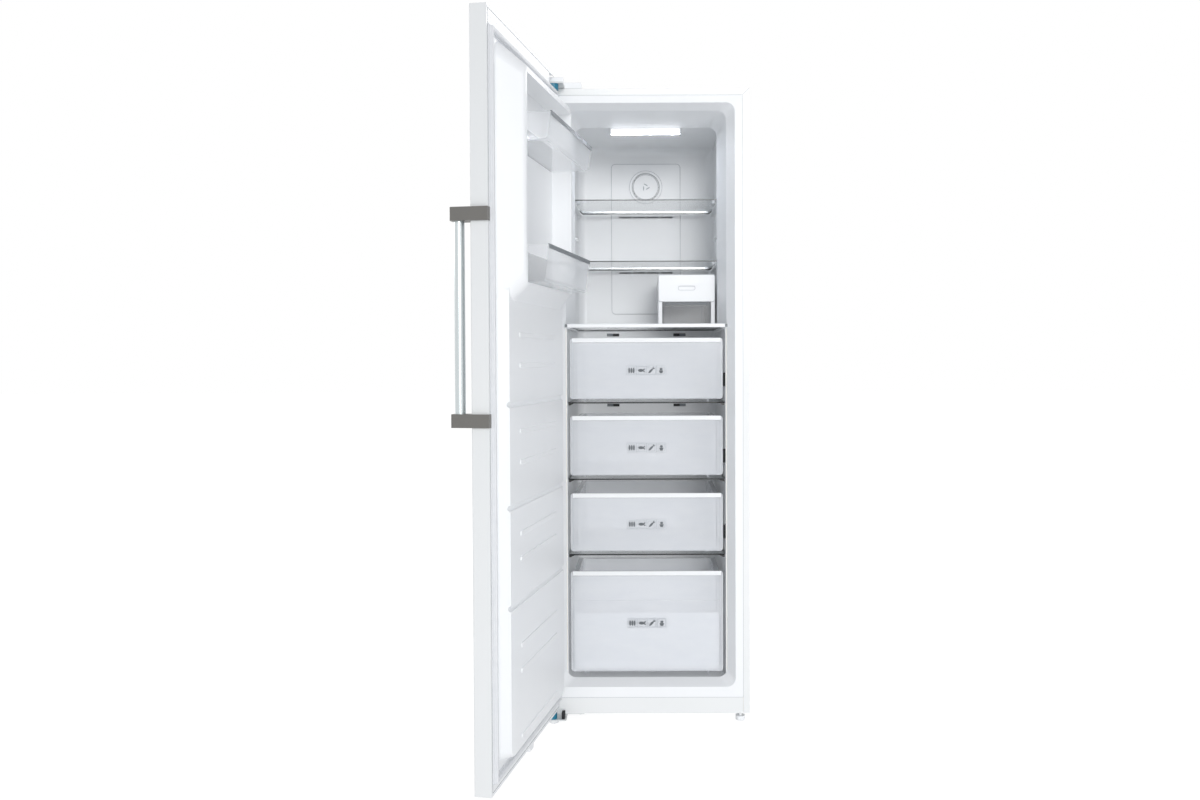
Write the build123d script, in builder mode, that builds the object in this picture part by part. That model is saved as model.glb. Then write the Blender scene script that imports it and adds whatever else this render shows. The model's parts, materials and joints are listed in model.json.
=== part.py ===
"""Upright frost-free freezer with its door swung open.

Millimetres, +Z up. The origin lies on the floor, under the middle of the cabinet, and the door side faces -Y.
Door pieces are drawn with the door shut and then swung about the hinge pins to the stored opening.
"""

from build123d import *
import os

os.makedirs("parts", exist_ok=True)

# ------------------------------------------------------------------ cabinet
cabinet_width = 595.0
underside = 23.0  # height of the base above the floor
shell_sheet = 0.8
front_return = 18.5  # width of the shell's folded front edge
plinth_height = 46.5
plinth_wall = 2.0
plinth_depth = 6.0
seam = 0.4  # gap along a seam between two panels
base_sheet = 1.2
overshoot = 1.0  # cuts run this far past the faces they open

# ------------------------------------------------------------------ inner liner and insulation
liner_wall = 2.0
mouth_side_wall = 41.0  # cabinet side to the mouth of the liner
mouth_top_wall = 40.0
mouth_rise = 77.0  # cabinet's base to the mouth's lower edge
mouth_radius = 25.0
flare_depth = 35.0  # the mouth narrows quickly over this depth
flare_side_wall = 63.5
flare_top_wall = 55.0
floor_rise = 95.0  # cabinet's base to the floor under the lowest drawer
pillar_depth = 150.0  # the shelf zone narrows further to this depth
pillar_side_wall = 83.5
pillar_top_wall = 77.0
recess_side_wall = 71.5  # shelf zone behind the pillars
recess_top_wall = 71.0
drawer_side_wall = 66.0  # drawer zone
hold_depth = 478.0  # front of the cabinet to the rear wall of the hold
rear_wall = 118.0  # rear wall of the hold to the cabinet's back
corner_radius = 27.0
hump_wall = 53.0  # the hump stands this far before the machine bay
hump_roof = 55.0  # and this far over it
pan_clearance = 0.3

# ------------------------------------------------------------------ evaporator niche behind the duct panel
niche_width = 208.0
niche_rise = 64.0  # glass over the drawers to the niche
niche_headroom = 62.0  # niche to the ceiling
niche_depth = 58.0
panel_margin = 12.0  # the duct panel laps over the niche's edge
panel_thickness = 3.0
panel_radius = 14.0
slot_length = 42.0
slot_pitch = 46.0
slots_per_row = 4
slot_shifts = [9.5, -9.0]  # each shelf's top to the rows of air slots above and below it
slot_widths = [2.5, 5.0]
disc_drop = 66.5  # niche's top to the middle of the air outlet
disc_radius = 55.5
disc_cap_radius = 42.0
disc_proud = 4.0
disc_groove = 5.0
disc_slits = 24
disc_slit_width = 3.0
disc_hole_radius = 46.0
panel_edge_radius = 1.5

# ------------------------------------------------------------------ evaporator and fan
fin_count = 20
fin_pitch = 7.0
fin_sheet = 0.8
fin_depth = 40.0
evaporator_rise = 20.0  # above the niche's floor
evaporator_drop = 97.0  # fan's axis to the top of the fins
coil_pitch = 40.0
coil_radius = 4.0
coil_clearance = 4.0
fan_radius = 42.0
fan_hub_radius = 15.0
fan_hub_length = 14.0
fan_setback = 3.0
fan_blades = 7
fan_pitch_degrees = 60.0
blade_sheet = 1.6
blade_width = 14.0
blade_root = 2.0  # the blades enter the hub this far
fan_shaft_radius = 2.5
fan_shaft_length = 10.0
shaft_clearance = 0.05
fan_motor_radius = 21.0
fan_motor_length = 22.0
fan_motor_gap = 2.0

# ------------------------------------------------------------------ lamp
lamp_width = 214.0
lamp_depth = 46.0
lamp_height = 26.0
diffuser_width = 205.0
diffuser_height = 13.0
diffuser_proud = 1.5
diffuser_depth = 5.0
lamp_clearance = 2.0
lamp_wall = 4.0
lamp_radius = 4.0

# ------------------------------------------------------------------ glass shelves
glass = 4.0
shelf_rises = [199.5, 185.5]  # glass over the drawers to the lower shelf, lower shelf to the upper one
shelf_headroom = 220.0  # upper shelf to the ceiling
shelf_setback = 156.0  # front of the cabinet to the shelf's front edge
shelf_side_gap = 5.0
shelf_back_gap = 38.0
shelf_chamfer_width = 12.0
shelf_chamfer_length = 87.0
rail_height = 6.0
rail_depth = 3.0
rail_length = 60.0  # the rail's ends reach this far forward
glass_edge = 0.6
ledge_height = 6.0
ledge_width = 6.5
spare_stud_rise = 84.5  # above the lower shelf
spare_stud_radius = 4.0
spare_stud_length = 9.0
spare_stud_setbacks = [300.0, 352.0]
ledge_setback = 70.0
section_trim_height = 11.0
section_trim_depth = 10.0
section_trim_setback = 20.0
trim_wall = 2.5
section_trim_overhang = 7.0
separator_setback = 46.0
separator_back_gap = 8.0
separator_side_gap = 2.5

# ------------------------------------------------------------------ drawers, from the lowest one up
drawer_gaps = [16.0, 9.5, 10.5, 9.0]  # floor or glass to the drawer's underside
drawer_heights = [296.0, 170.5, 174.5, 178.5]
drawer_headrooms = [45.0, 38.0, 36.0, 33.5]  # drawer's front to the glass above it
drawer_setback = 38.0
drawer_front_gap = 8.5  # between the front panel and the liner's side
drawer_front_wall = 3.0
drawer_front_radius = 9.0
drawer_wall = 2.5
drawer_rim_gap = 14.0  # between the rim and the liner's side
drawer_rim_width = 12.0
drawer_back_gap = 22.0
low_drawer_back_gap = 9.0
drawer_corner = 14.0
runner_width = 5.0
runner_inset = 24.0
slide_gap = 0.5
strip_height = 13.0
strip_depth = 3.0
strip_inset = 6.0  # front panel's side to the strip
vent_count = 4
vent_inset = 40.5  # tub's side to the first vent
vent_gap = 26.0
vent_width = 8.0
vent_setback = 37.0  # lowest drawer's rear wall to the vents in its floor
ridge_rise = 206.0
ridge_width = 5.0
ridge_proud = 2.0
rubber_edge = 2.0
buffer_rise = 56.0  # drawer's underside to the middle of its rubber buffer
buffer_length = 40.0
buffer_width = 7.0
buffer_depth = 10.0

# ------------------------------------------------------------------ ice maker
ice_side_gap = 17.0
ice_width = 172.0
ice_setback = 150.0
ice_rear_gap = 58.0
ice_height = 156.0
ice_wall = 3.0
ice_frame = 12.0  # width of the frame beside the bin
ice_radius = 8.0
bin_height = 70.0
bin_wall = 2.5
bin_radius = 8.0
bin_setback = 3.0
tray_front_proud = 5.0
tray_front_radius = 6.0
tray_gap = 1.0
tub_height = 42.0
grip_width = 52.0
grip_height = 15.0
grip_depth = 2.0
cube_rows = 3
cube_columns = 7
cube_tray_height = 32.0
cube_wall = 1.6

# ------------------------------------------------------------------ machine bay
bay_depth = 231.0  # measured from the back
bay_height = 262.0
tray_rise = 4.0  # cabinet's base to the compressor tray
tray_sheet = 2.0
tray_lip = 20.0
compressor_x = 130.0
compressor_radius = 78.0
compressor_half_depth = 67.0
compressor_height = 165.0
compressor_crown = 34.0
compressor_foot = 3.0
relay_depth = 18.0
relay_width = 50.0
relay_height = 60.0
grommet_radius = 11.0
grommet_height = 12.0
grommet_spacing_x = 110.0
grommet_spacing_y = 120.0
drip_tray_size = 130.0
drip_tray_height = 34.0
drip_tray_wall = 2.0
drip_tray_radius = 10.0
condenser_passes = 7
condenser_pitch = 26.0
condenser_length = 170.0
condenser_tube_radius = 3.2
condenser_setback = 40.0  # behind the bay's middle
condenser_inset = 70.0
strap_width = 12.0
strap_sheet = 1.5
cover_sheet = 1.5
louvre_count = 9
louvre_columns = 3
louvre_inset = 56.0  # cover's sides to the louvres
louvre_gap = 20.0
louvre_height = 5.0
louvre_pitch = 20.0
inlet_width = 28.0
inlet_height = 20.0
inlet_depth = 22.0
inlet_wall = 2.0
inlet_flange = 4.0
inlet_inset = 26.0
inlet_pin_radius = 2.0
inlet_pin_pitch = 7.0

# ------------------------------------------------------------------ feet
foot_radius = 13.5
foot_height = 14.0
foot_stud_radius = 4.0
foot_stud_length = 20.0
stud_clearance = 2.0
foot_inset = 27.0  # cabinet side to the foot's middle
right_foot_setback = 12.0
left_foot_setback = -7.0
rear_foot_radius = 16.0
rear_foot_setback = 40.0
sole_chamfer = 1.5

# ------------------------------------------------------------------ door
door_rise = 24.0  # cabinet's base to the door's lower edge
door_thickness = 42.0
door_gap = 12.0  # cabinet front to the door's inner face
door_open_degrees = 100.0
door_skin_sheet = 0.8
door_return = 7.0
door_edge_radius = 3.0
cap_height = 25.0
cap_wall = 3.0
lug_start = 260.0
lug_width = 33.0
lug_depth = 14.0
lug_height = 12.0
gasket_inset = 10.0
gasket_width = 16.0
gasket_top_inset = 16.0  # cabinet's top to the gasket
gasket_bottom_inset = 50.0  # cabinet's base to the gasket
gasket_base = 3.0
gasket_proud = 11.0
gasket_lip_width = 10.0
gasket_lip_radius = 2.5

# ------------------------------------------------------------------ door liner
form_inset = 48.0  # door's side to the foot of the raised form
plateau_inset = 7.0  # mouth's lower edge to the plateau
plateau_rise = 30.0
plateau_draft = 9.0
dyke_bottom_rise = 3.0  # glass over the drawers to the dyke
dyke_top_inset = 34.0  # cabinet's top to the dyke
dyke_rise = 66.0
dyke_side_draft = 30.0
dyke_top_draft = 56.0
dyke_bottom_draft = 75.0
dyke_crest = 14.5  # width of the ridge round the pocket panel
dyke_lip = 3.0  # ridge under the lower pocket
panel_rise = 12.0
form_radius = 22.0
dyke_radius = 40.0  # at the dyke's foot
crest_radius = 30.0  # and along its ridge
crest_round = 9.0  # the ridge's outer edge
plateau_step = 1.5  # the plateau's foot lies this far inside the dyke's
panel_corner = 2.5
door_liner_wall = 2.0
groove_radius = 7.0
groove_shifts = [-11.0, 2.0, 19.0]  # each glass between the drawers, from the lowest, to its groove
# ribs below each groove, from the lowest, and below the glass over the drawers
rib_drops = [[106.0, 168.0, 327.0], [71.0, 132.0], [67.0, 141.0], [41.0, 114.0]]
rib_inset = 75.5
rib_height = 15.0
rib_proud = 2.5
rib_draft_degrees = 40.0

# ------------------------------------------------------------------ door pockets
upper_pocket_drop = 228.0  # dyke's top to the upper pocket's floor
upper_pocket_height = 64.0
upper_pocket_reach = 124.0  # door's inner face to the pocket's front
lower_pocket_height = 87.0
lower_pocket_reach = 117.0
pocket_wall = 2.5
pocket_gap = 1.0
pocket_slope = 9.0  # the front leans in towards its foot
pocket_radius = 10.0
trim_height = 9.0
trim_overlap = 1.2

# ------------------------------------------------------------------ handle
handle_reach = 89.5  # door's inner face to the handle's outer side
bracket_height = 31.0
bracket_rise = 848.0  # door's lower edge to the lower bracket
bracket_spacing = 471.0
bracket_end_wall = 8.0
bracket_width = 40.0
bracket_hook = 2.0
bracket_hook_width = 9.0
bracket_radius = 6.0
bracket_clearance = 0.2
bar_radius = 12.0
bar_edge = 5.0  # bar to the bracket's outer side
bar_from_side = 8.0  # bar to the bracket's free end
bar_seat = 6.0  # the bar enters each bracket this far
bar_fit = 0.1

# ------------------------------------------------------------------ hinges
pin_from_side = 16.0
pin_from_face = 26.0  # door's inner face to the pin
pin_radius = 4.0
pin_clearance = 0.05
pin_reach = 14.0  # length of pin inside the door
hinge_plate = 3.0
hinge_arm = 4.0
plate_setback = 2.0
arm_lap = 20.0  # the arm lies on its plate over this length
screw_inset = 12.0
thread_gap = 0.1
nose_gap = 1.0  # hinge arm's nose to the recess's front wall
arm_start = 4.0  # the arm starts this far outside the pin's centre line
arm_gap = 6.0  # hinge arm to the recess's inner wall
plate_side_gap = 7.0
plate_width = 107.0
plate_length = 72.0
cover_height = 12.0
cover_wall = 2.5
cover_radius = 1.5
cover_gap = 1.0  # hinge cover to the recess's lid
bush_setback = 0.5  # the bush's side lies this far inside the arm's nose
bush_end_gap = 14.0  # bush to the arm's inner side
bush_gap = 1.0  # bush to the door's bearing face
pin_end_gap = 1.0
boss_radius = 8.0
recess_width = 72.0
recess_drop = 15.0  # cabinet's top to the recess's floor
recess_edge = 0.2  # the recess stops this far behind the skin's front sheet
recess_lid = 8.0
recess_lid_start = 40.0
lower_bush_reach = 22.5
lower_bush_radius = 12.0
stop_length = 25.0
stop_ahead = 8.0  # the stop starts this far before the pin
stop_inset = 5.0
stop_width = 9.0
stop_height = 17.0
screw_radius = 2.5
screw_head_radius = 5.5
screw_head_height = 3.0
screw_length = 10.0

# ------------------------------------------------------------------ planes and lines worked out from the sizes
side = cabinet_width / 2
cabinet_depth = hold_depth + rear_wall
front = -cabinet_depth / 2
back = cabinet_depth / 2
inner_side = side - shell_sheet
hold_back = front + hold_depth
bay_front = back - bay_depth
bay_roof = underside + bay_height
tray_height = underside + tray_rise
hump_depth = cabinet_depth - bay_depth - hump_wall
hump_top = bay_roof + hump_roof
mouth_floor = underside + mouth_rise
hold_floor = underside + floor_rise
drawer_zone_half = side - drawer_side_wall
recess_half = side - recess_side_wall

# the drawers and the glass over each stack up from the floor
drawer_supports = []
drawer_bottoms = []
drawer_tops = []
glass_tops = []
level_top = hold_floor
for gap, height, headroom in zip(drawer_gaps, drawer_heights, drawer_headrooms):
    drawer_supports.append(level_top)
    drawer_bottoms.append(level_top + gap)
    drawer_tops.append(level_top + gap + height)
    level_top += gap + height + headroom + glass
    glass_tops.append(level_top)
separator_tops = glass_tops[:-1]
section_top = glass_tops[-1]

# the shelves and the ceiling follow above
lower_shelf_top = section_top + shelf_rises[0]
upper_shelf_top = lower_shelf_top + shelf_rises[1]
shelf_tops = [upper_shelf_top, lower_shelf_top]
ceiling = upper_shelf_top + shelf_headroom
cabinet_top = ceiling + recess_top_wall
niche_bottom = section_top + niche_rise
niche_top = ceiling - niche_headroom
disc_height = niche_top - disc_drop
evaporator_bottom = niche_bottom + evaporator_rise
evaporator_height = disc_height - evaporator_drop - evaporator_bottom

# the hinges stand on the cabinet's top and under its base; the door reaches over them
pin_x = -side + pin_from_side
door_face = front - door_gap  # the door's inner face when shut
pin_y = door_face - pin_from_face
to_pin = Location((pin_x, pin_y, 0))
from_pin = Location((-pin_x, -pin_y, 0))
door_swing = to_pin * Location((0, 0, 0), (0, 0, -door_open_degrees)) * from_pin
nose_radius = door_thickness - door_skin_sheet - recess_edge - pin_from_face - nose_gap
arm_width = recess_width - pin_from_side - arm_gap
plate_high = cabinet_top + hinge_plate
arm_high = plate_high + hinge_arm
cover_high = arm_high + cover_height
door_bottom = underside + door_rise
door_top = cover_high + cover_gap + recess_lid
recess_floor = cabinet_top - recess_drop
plate_low = underside - hinge_plate
plate_x = (-side + plate_side_gap, -side + plate_side_gap + plate_width)
plate_y = (front + plate_setback, front + plate_setback + plate_length)
arm_x = (pin_x - arm_start, pin_x + arm_width)
screw_places = [
    (plate_x[0] + screw_inset, plate_y[1] - screw_inset),
    (plate_x[1] - screw_inset, plate_y[1] - screw_inset),
    (plate_x[1] - screw_inset, plate_y[0] + screw_inset),
]


def upright(y):
    """The upright plane at depth y, with +X to the right and +Z up."""
    return Plane.XZ.offset(-y)


def level(z):
    """The level plane at height z."""
    return Plane.XY.offset(z)


def block(x, y, z, mode=Mode.ADD):
    """Adds a box that spans the three given (low, high) ranges to the piece being built."""
    with Locations(((x[0] + x[1]) / 2, (y[0] + y[1]) / 2, (z[0] + z[1]) / 2)):
        return Box(x[1] - x[0], y[1] - y[0], z[1] - z[0], mode=mode)


def post(x, y, z, radius, mode=Mode.ADD):
    """Adds an upright round post that spans the (low, high) range z to the piece being built."""
    with Locations((x, y, (z[0] + z[1]) / 2)):
        return Cylinder(radius, z[1] - z[0], mode=mode)


def save(name, piece, on_door=False):
    """Labels a finished piece and writes it; a piece of the door is swung open first."""
    if on_door:
        piece.part.move(door_swing)
    piece.part.label = name
    export_step(piece.part, f"parts/{name}.step")


def arm_outline(z):
    """A hinge arm at height z, seen from above: a round nose about the pin, a bar back to the cabinet."""
    arm_length = plate_y[0] + arm_lap - pin_y + nose_radius
    with BuildSketch(level(z)) as outline:
        with Locations((pin_x, pin_y)):
            Circle(nose_radius)
        with Locations((arm_x[0], pin_y - nose_radius)):
            Rectangle(arm_x[1] - arm_x[0], arm_length, align=(Align.MIN, Align.MIN))
    return outline.sketch


def screw_holes():
    """Cuts the hinge screws' holes through the piece being built, at the top and at the bottom."""
    for x, y in screw_places:
        for z in ((plate_high - screw_length, plate_high), (plate_low, plate_low + screw_length)):
            post(x, y, z, screw_radius + thread_gap, mode=Mode.SUBTRACT)


def frame_face(y, x, z, radius):
    """A rounded rectangle that spans the ranges x and z in the upright plane at depth y."""
    with BuildSketch(upright(y)) as face:
        with Locations(((x[0] + x[1]) / 2, (z[0] + z[1]) / 2)):
            RectangleRounded(x[1] - x[0], z[1] - z[0], radius)
    return face.sketch


# ------------------------------------------------------------------ the hold: the space inside the liner
def recess_space(grow):
    """The shelf zone behind the pillars, its rear corners rounded."""
    with BuildPart() as space:
        block(
            (-recess_half - grow, recess_half + grow),
            (front + pillar_depth - grow, hold_back + grow),
            (section_top - corner_radius, cabinet_top - recess_top_wall + grow),
        )
        rear_face = space.faces().sort_by(Axis.Y)[-1]
        fillet(rear_face.edges().sort_by(Axis.Z)[1:], corner_radius + grow)
    return space.part


def drawer_space(grow, rear, bottom):
    """The drawer zone above the given bottom, back to the given rear wall."""
    with BuildPart() as space:
        block(
            (-drawer_zone_half - grow, drawer_zone_half + grow),
            (front + flare_depth - grow, rear + grow),
            (bottom - grow, section_top + grow),
        )
        rear_face = space.faces().sort_by(Axis.Y)[-1]
        fillet(rear_face.edges().filter_by(Axis.Z), corner_radius + grow)
    return space.part


def hold_space(grow):
    """The whole space inside the liner, grown by the given amount towards the foam."""
    mouth = side - mouth_side_wall + grow
    flare = side - flare_side_wall + grow
    pillar = side - pillar_side_wall + grow
    mouth_z = (mouth_floor - grow, cabinet_top - mouth_top_wall + grow)
    flare_z = (hold_floor - grow, cabinet_top - flare_top_wall + grow)
    pillar_z = (section_top - mouth_radius - grow, cabinet_top - pillar_top_wall + grow)
    radius = mouth_radius + grow
    flare_y = front + flare_depth
    recess = recess_space(grow)
    drawers = drawer_space(grow, hold_back, hump_top)
    low_drawer = drawer_space(grow, front + hump_depth, hold_floor)
    with BuildPart() as space:
        loft([
            frame_face(front, (-mouth, mouth), mouth_z, radius),
            frame_face(flare_y, (-flare, flare), flare_z, radius),
        ])
        loft([
            frame_face(flare_y, (-flare, flare), (pillar_z[0], flare_z[1]), radius),
            frame_face(front + pillar_depth, (-pillar, pillar), pillar_z, radius),
        ])
        add(recess)
        add(drawers)
        add(low_drawer)
    return space.part


def niche_space(grow):
    """The evaporator's niche in the rear wall, grown by the given amount towards the foam."""
    with BuildPart() as space:
        block(
            (-niche_width / 2 - grow, niche_width / 2 + grow),
            (hold_back - overshoot, hold_back + niche_depth + grow),
            (niche_bottom - grow, niche_top + grow),
        )
    return space.part


hold = hold_space(0)
hold_outside = hold_space(liner_wall)
niche = niche_space(0)
niche_outside = niche_space(liner_wall)

# The liner is one formed sheet: a flange round the mouth, the hold's walls, and ledges for the glass
return_side = side - front_return
flange_side = return_side - seam
flange_bottom = underside + plinth_height + seam
flange_top = cabinet_top - front_return - seam
ledge_back = hold_back - corner_radius
with BuildPart() as inner_liner:
    block((-flange_side, flange_side), (front, front + liner_wall), (flange_bottom, flange_top))
    add(hold_outside)
    add(niche_outside)
    add(hold, mode=Mode.SUBTRACT)
    add(niche, mode=Mode.SUBTRACT)
    for hand in (-1, 1):
        # ledges under the separators and the section glass
        for top in separator_tops + [section_top]:
            block(
                sorted((hand * drawer_zone_half, hand * (drawer_zone_half - ledge_width))),
                (front + ledge_setback, ledge_back),
                (top - glass - ledge_height, top - glass),
            )
        # ledges under the two shelves, and studs at the spare shelf place
        for top in shelf_tops:
            block(
                sorted((hand * recess_half, hand * (recess_half - shelf_side_gap - ledge_width))),
                (front + shelf_setback + ledge_setback / 2, ledge_back),
                (top - glass - ledge_height, top - glass),
            )
        with BuildSketch(Plane.YZ.offset(hand * recess_half)):
            for depth in spare_stud_setbacks:
                with Locations((front + depth, lower_shelf_top + spare_stud_rise)):
                    Circle(spare_stud_radius)
        extrude(amount=-hand * spare_stud_length)
save("inner_liner", inner_liner)

# ------------------------------------------------------------------ outer shell, rear panel, plinth and base
with BuildPart() as outer_shell:
    block((-side, side), (front, back), (underside, cabinet_top))
    block((-inner_side, inner_side), (front, back), (underside, cabinet_top - shell_sheet),
          mode=Mode.SUBTRACT)
    # the sheet folds round the front edge on both sides and the top
    block((-side, side), (front, front + shell_sheet), (underside, cabinet_top))
    block((-return_side, return_side), (front, front + shell_sheet), (underside, cabinet_top - front_return),
          mode=Mode.SUBTRACT)
    screw_holes()
save("outer_shell", outer_shell)

panel_half = inner_side - pan_clearance
with BuildPart() as back_panel:
    block((-panel_half, panel_half), (back - shell_sheet, back),
          (bay_roof + base_sheet, cabinet_top - shell_sheet - pan_clearance))
save("back_panel", back_panel)

plinth_half = return_side - seam
plinth_top = underside + plinth_height
with BuildPart() as plinth:
    block((-plinth_half, plinth_half), (front, front + plinth_depth), (underside, plinth_top))
    block((-plinth_half + plinth_wall, plinth_half - plinth_wall),
          (front + plinth_wall, front + plinth_depth),
          (underside + plinth_wall, plinth_top - plinth_wall), mode=Mode.SUBTRACT)
save("plinth", plinth)

right_foot = (side - foot_inset, front + right_foot_setback)
left_foot = (-side + foot_inset, front + left_foot_setback)
base_start = front + plinth_depth + pan_clearance
with BuildPart() as base_pan:
    with BuildSketch(Plane.YZ.offset(-panel_half)):
        with BuildLine():
            Polyline(
                (base_start, underside),
                (bay_front + base_sheet, underside),
                (bay_front + base_sheet, bay_roof),
                (back, bay_roof),
                (back, bay_roof + base_sheet),
                (bay_front, bay_roof + base_sheet),
                (bay_front, underside + base_sheet),
                (base_start, underside + base_sheet),
                close=True,
            )
        make_face()
    extrude(amount=2 * panel_half)
    post(*right_foot, (underside - overshoot, underside + base_sheet + overshoot),
         foot_stud_radius + pan_clearance, mode=Mode.SUBTRACT)
    screw_holes()
save("base_pan", base_pan)

# ------------------------------------------------------------------ insulation: everything between liner and shell
with BuildPart() as insulation_foam:
    block((-inner_side, inner_side), (front + liner_wall, back - shell_sheet),
          (underside + base_sheet, cabinet_top - shell_sheet))
    add(hold_outside, mode=Mode.SUBTRACT)
    add(niche_outside, mode=Mode.SUBTRACT)
    block((-inner_side, inner_side), (bay_front, back), (underside, bay_roof + base_sheet),
          mode=Mode.SUBTRACT)
    block((-return_side, return_side), (front, base_start), (underside, flange_bottom), mode=Mode.SUBTRACT)
    post(*right_foot, (underside, underside + foot_stud_length), foot_stud_radius + stud_clearance,
         mode=Mode.SUBTRACT)
    screw_holes()
save("insulation_foam", insulation_foam)

# ------------------------------------------------------------------ feet
with BuildPart() as levelling_feet:
    for x, y, stud_top in (
        (*left_foot, plate_low),
        (*right_foot, foot_height + foot_stud_length),
    ):
        post(x, y, (0, foot_height), foot_radius)
        post(x, y, (foot_height, stud_top), foot_stud_radius)
    soles = levelling_feet.edges().filter_by(GeomType.CIRCLE).group_by(Axis.Z)[0]
    chamfer(soles, sole_chamfer)
save("levelling_feet", levelling_feet)

with BuildPart() as rear_feet:
    for hand in (-1, 1):
        post(hand * (side - foot_inset), back - rear_foot_setback, (0, tray_height), rear_foot_radius)
    chamfer(rear_feet.edges().filter_by(GeomType.CIRCLE).group_by(Axis.Z)[0], sole_chamfer)
save("rear_feet", rear_feet)

# ------------------------------------------------------------------ machine bay
bay_middle = (bay_front + back) / 2
tray_top = tray_height + tray_sheet
bay_start = bay_front + base_sheet
with BuildPart() as compressor_tray:
    block((-panel_half, panel_half), (bay_start, back - cover_sheet), (tray_height, tray_top + tray_lip))
    block((-panel_half + tray_sheet, panel_half - tray_sheet), (bay_start, back - cover_sheet),
          (tray_top, tray_top + tray_lip), mode=Mode.SUBTRACT)
save("compressor_tray", compressor_tray)

grommet_top = tray_top + grommet_height
with BuildPart() as compressor_grommets:
    with BuildSketch(level(tray_top)):
        with Locations((compressor_x, bay_middle)):
            with GridLocations(grommet_spacing_x, grommet_spacing_y, 2, 2):
                Circle(grommet_radius)
    extrude(amount=grommet_height)
save("compressor_grommets", compressor_grommets)

pot_bottom = grommet_top + compressor_foot
pot_top = pot_bottom + compressor_height
with BuildPart() as compressor:
    with BuildSketch(level(grommet_top)):
        with Locations((compressor_x, bay_middle)):
            RectangleRounded(grommet_spacing_x + 2 * grommet_radius, grommet_spacing_y + 2 * grommet_radius,
                             grommet_radius)
    extrude(amount=compressor_foot)
    with BuildSketch(level(pot_bottom)):
        with Locations((compressor_x, bay_middle)):
            Ellipse(compressor_radius, compressor_half_depth)
    extrude(amount=compressor_height)
    fillet(compressor.edges().group_by(Axis.Z)[-1], compressor_crown)
    block(
        (compressor_x - compressor_radius - relay_depth, compressor_x),
        (bay_middle - relay_width / 2, bay_middle + relay_width / 2),
        (pot_bottom + relay_height, pot_bottom + relay_height + relay_width),
    )
save("compressor", compressor)

with BuildPart() as drip_tray:
    with BuildSketch(level(pot_top)):
        with Locations((compressor_x, bay_middle)):
            RectangleRounded(drip_tray_size, drip_tray_size, drip_tray_radius)
    extrude(amount=drip_tray_height)
    offset(amount=-drip_tray_wall, openings=drip_tray.faces().sort_by(Axis.Z)[-1])
save("drip_tray", drip_tray)


def serpentine(start, run, step, passes):
    """A flat winding path: straight runs along the vector run, joined by half circles, one step apart."""
    at = Vector(*start)
    reach = Vector(*run)
    pitch = Vector(*step)
    with BuildLine() as path:
        for i in range(passes):
            end = at + reach
            Line(at, end)
            if i < passes - 1:
                turn = reach.normalized() * (pitch.length / 2)
                ThreePointArc(end, end + pitch / 2 + turn, end + pitch)
            at = end + pitch
            reach = -reach
    return path.wire()


condenser_y = bay_middle + condenser_setback
condenser_x = -side + condenser_inset
condenser_z = tray_top + condenser_pitch / 2
condenser_path = serpentine(
    (condenser_x, condenser_y, condenser_z),
    (condenser_length, 0, 0),
    (0, 0, condenser_pitch),
    condenser_passes,
)
with BuildPart() as condenser_coil:
    with BuildSketch(Plane(condenser_path @ 0, z_dir=condenser_path % 0)):
        Circle(condenser_tube_radius)
    sweep(path=condenser_path)
    # two upright straps stand on the tray and hold the runs
    for x in (condenser_x + strap_width, condenser_x + condenser_length - strap_width):
        block((x - strap_width / 2, x + strap_width / 2),
              (condenser_y - strap_sheet, condenser_y + strap_sheet),
              (tray_top, condenser_z + condenser_passes * condenser_pitch))
save("condenser_coil", condenser_coil)

cover_top = bay_roof - seam
louvre_step = 2 * (panel_half - louvre_inset) / louvre_columns
inlet_x = side - inlet_inset
inlet_z = cover_top - inlet_inset
with BuildPart() as machine_cover:
    block((-panel_half, panel_half), (back - cover_sheet, back), (tray_height, cover_top))
    with BuildSketch(upright(back)):
        with Locations((-inlet_inset / 2, (tray_height + cover_top) / 2)):
            with GridLocations(louvre_step, louvre_pitch, louvre_columns, louvre_count):
                SlotOverall(louvre_step - louvre_gap, louvre_height)
        with Locations((inlet_x, inlet_z)):
            Rectangle(inlet_width, inlet_height)
    extrude(amount=cover_sheet, both=True, mode=Mode.SUBTRACT)
save("machine_cover", machine_cover)

# the inlet's body fills the cover's hole; its flange lies against the cover from inside
with BuildPart() as power_inlet:
    body_x = inlet_width / 2
    body_z = inlet_height / 2
    block((inlet_x - body_x, inlet_x + body_x), (back - inlet_depth, back),
          (inlet_z - body_z, inlet_z + body_z))
    block((inlet_x - body_x - inlet_flange, inlet_x + body_x + inlet_flange),
          (back - 2 * cover_sheet, back - cover_sheet),
          (inlet_z - body_z - inlet_flange, inlet_z + body_z + inlet_flange))
    with BuildSketch(upright(back)):
        with Locations((inlet_x, inlet_z)):
            RectangleRounded(inlet_width - 2 * inlet_wall, inlet_height - 2 * inlet_wall, inlet_wall)
    extrude(amount=inlet_depth - inlet_wall, mode=Mode.SUBTRACT)
    with Locations(*[(inlet_x + i * inlet_pin_pitch, back - inlet_depth / 2, inlet_z) for i in (-1, 0, 1)]):
        Cylinder(inlet_pin_radius, inlet_depth - 2 * inlet_wall, rotation=(90, 0, 0))
save("power_inlet", power_inlet)

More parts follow.
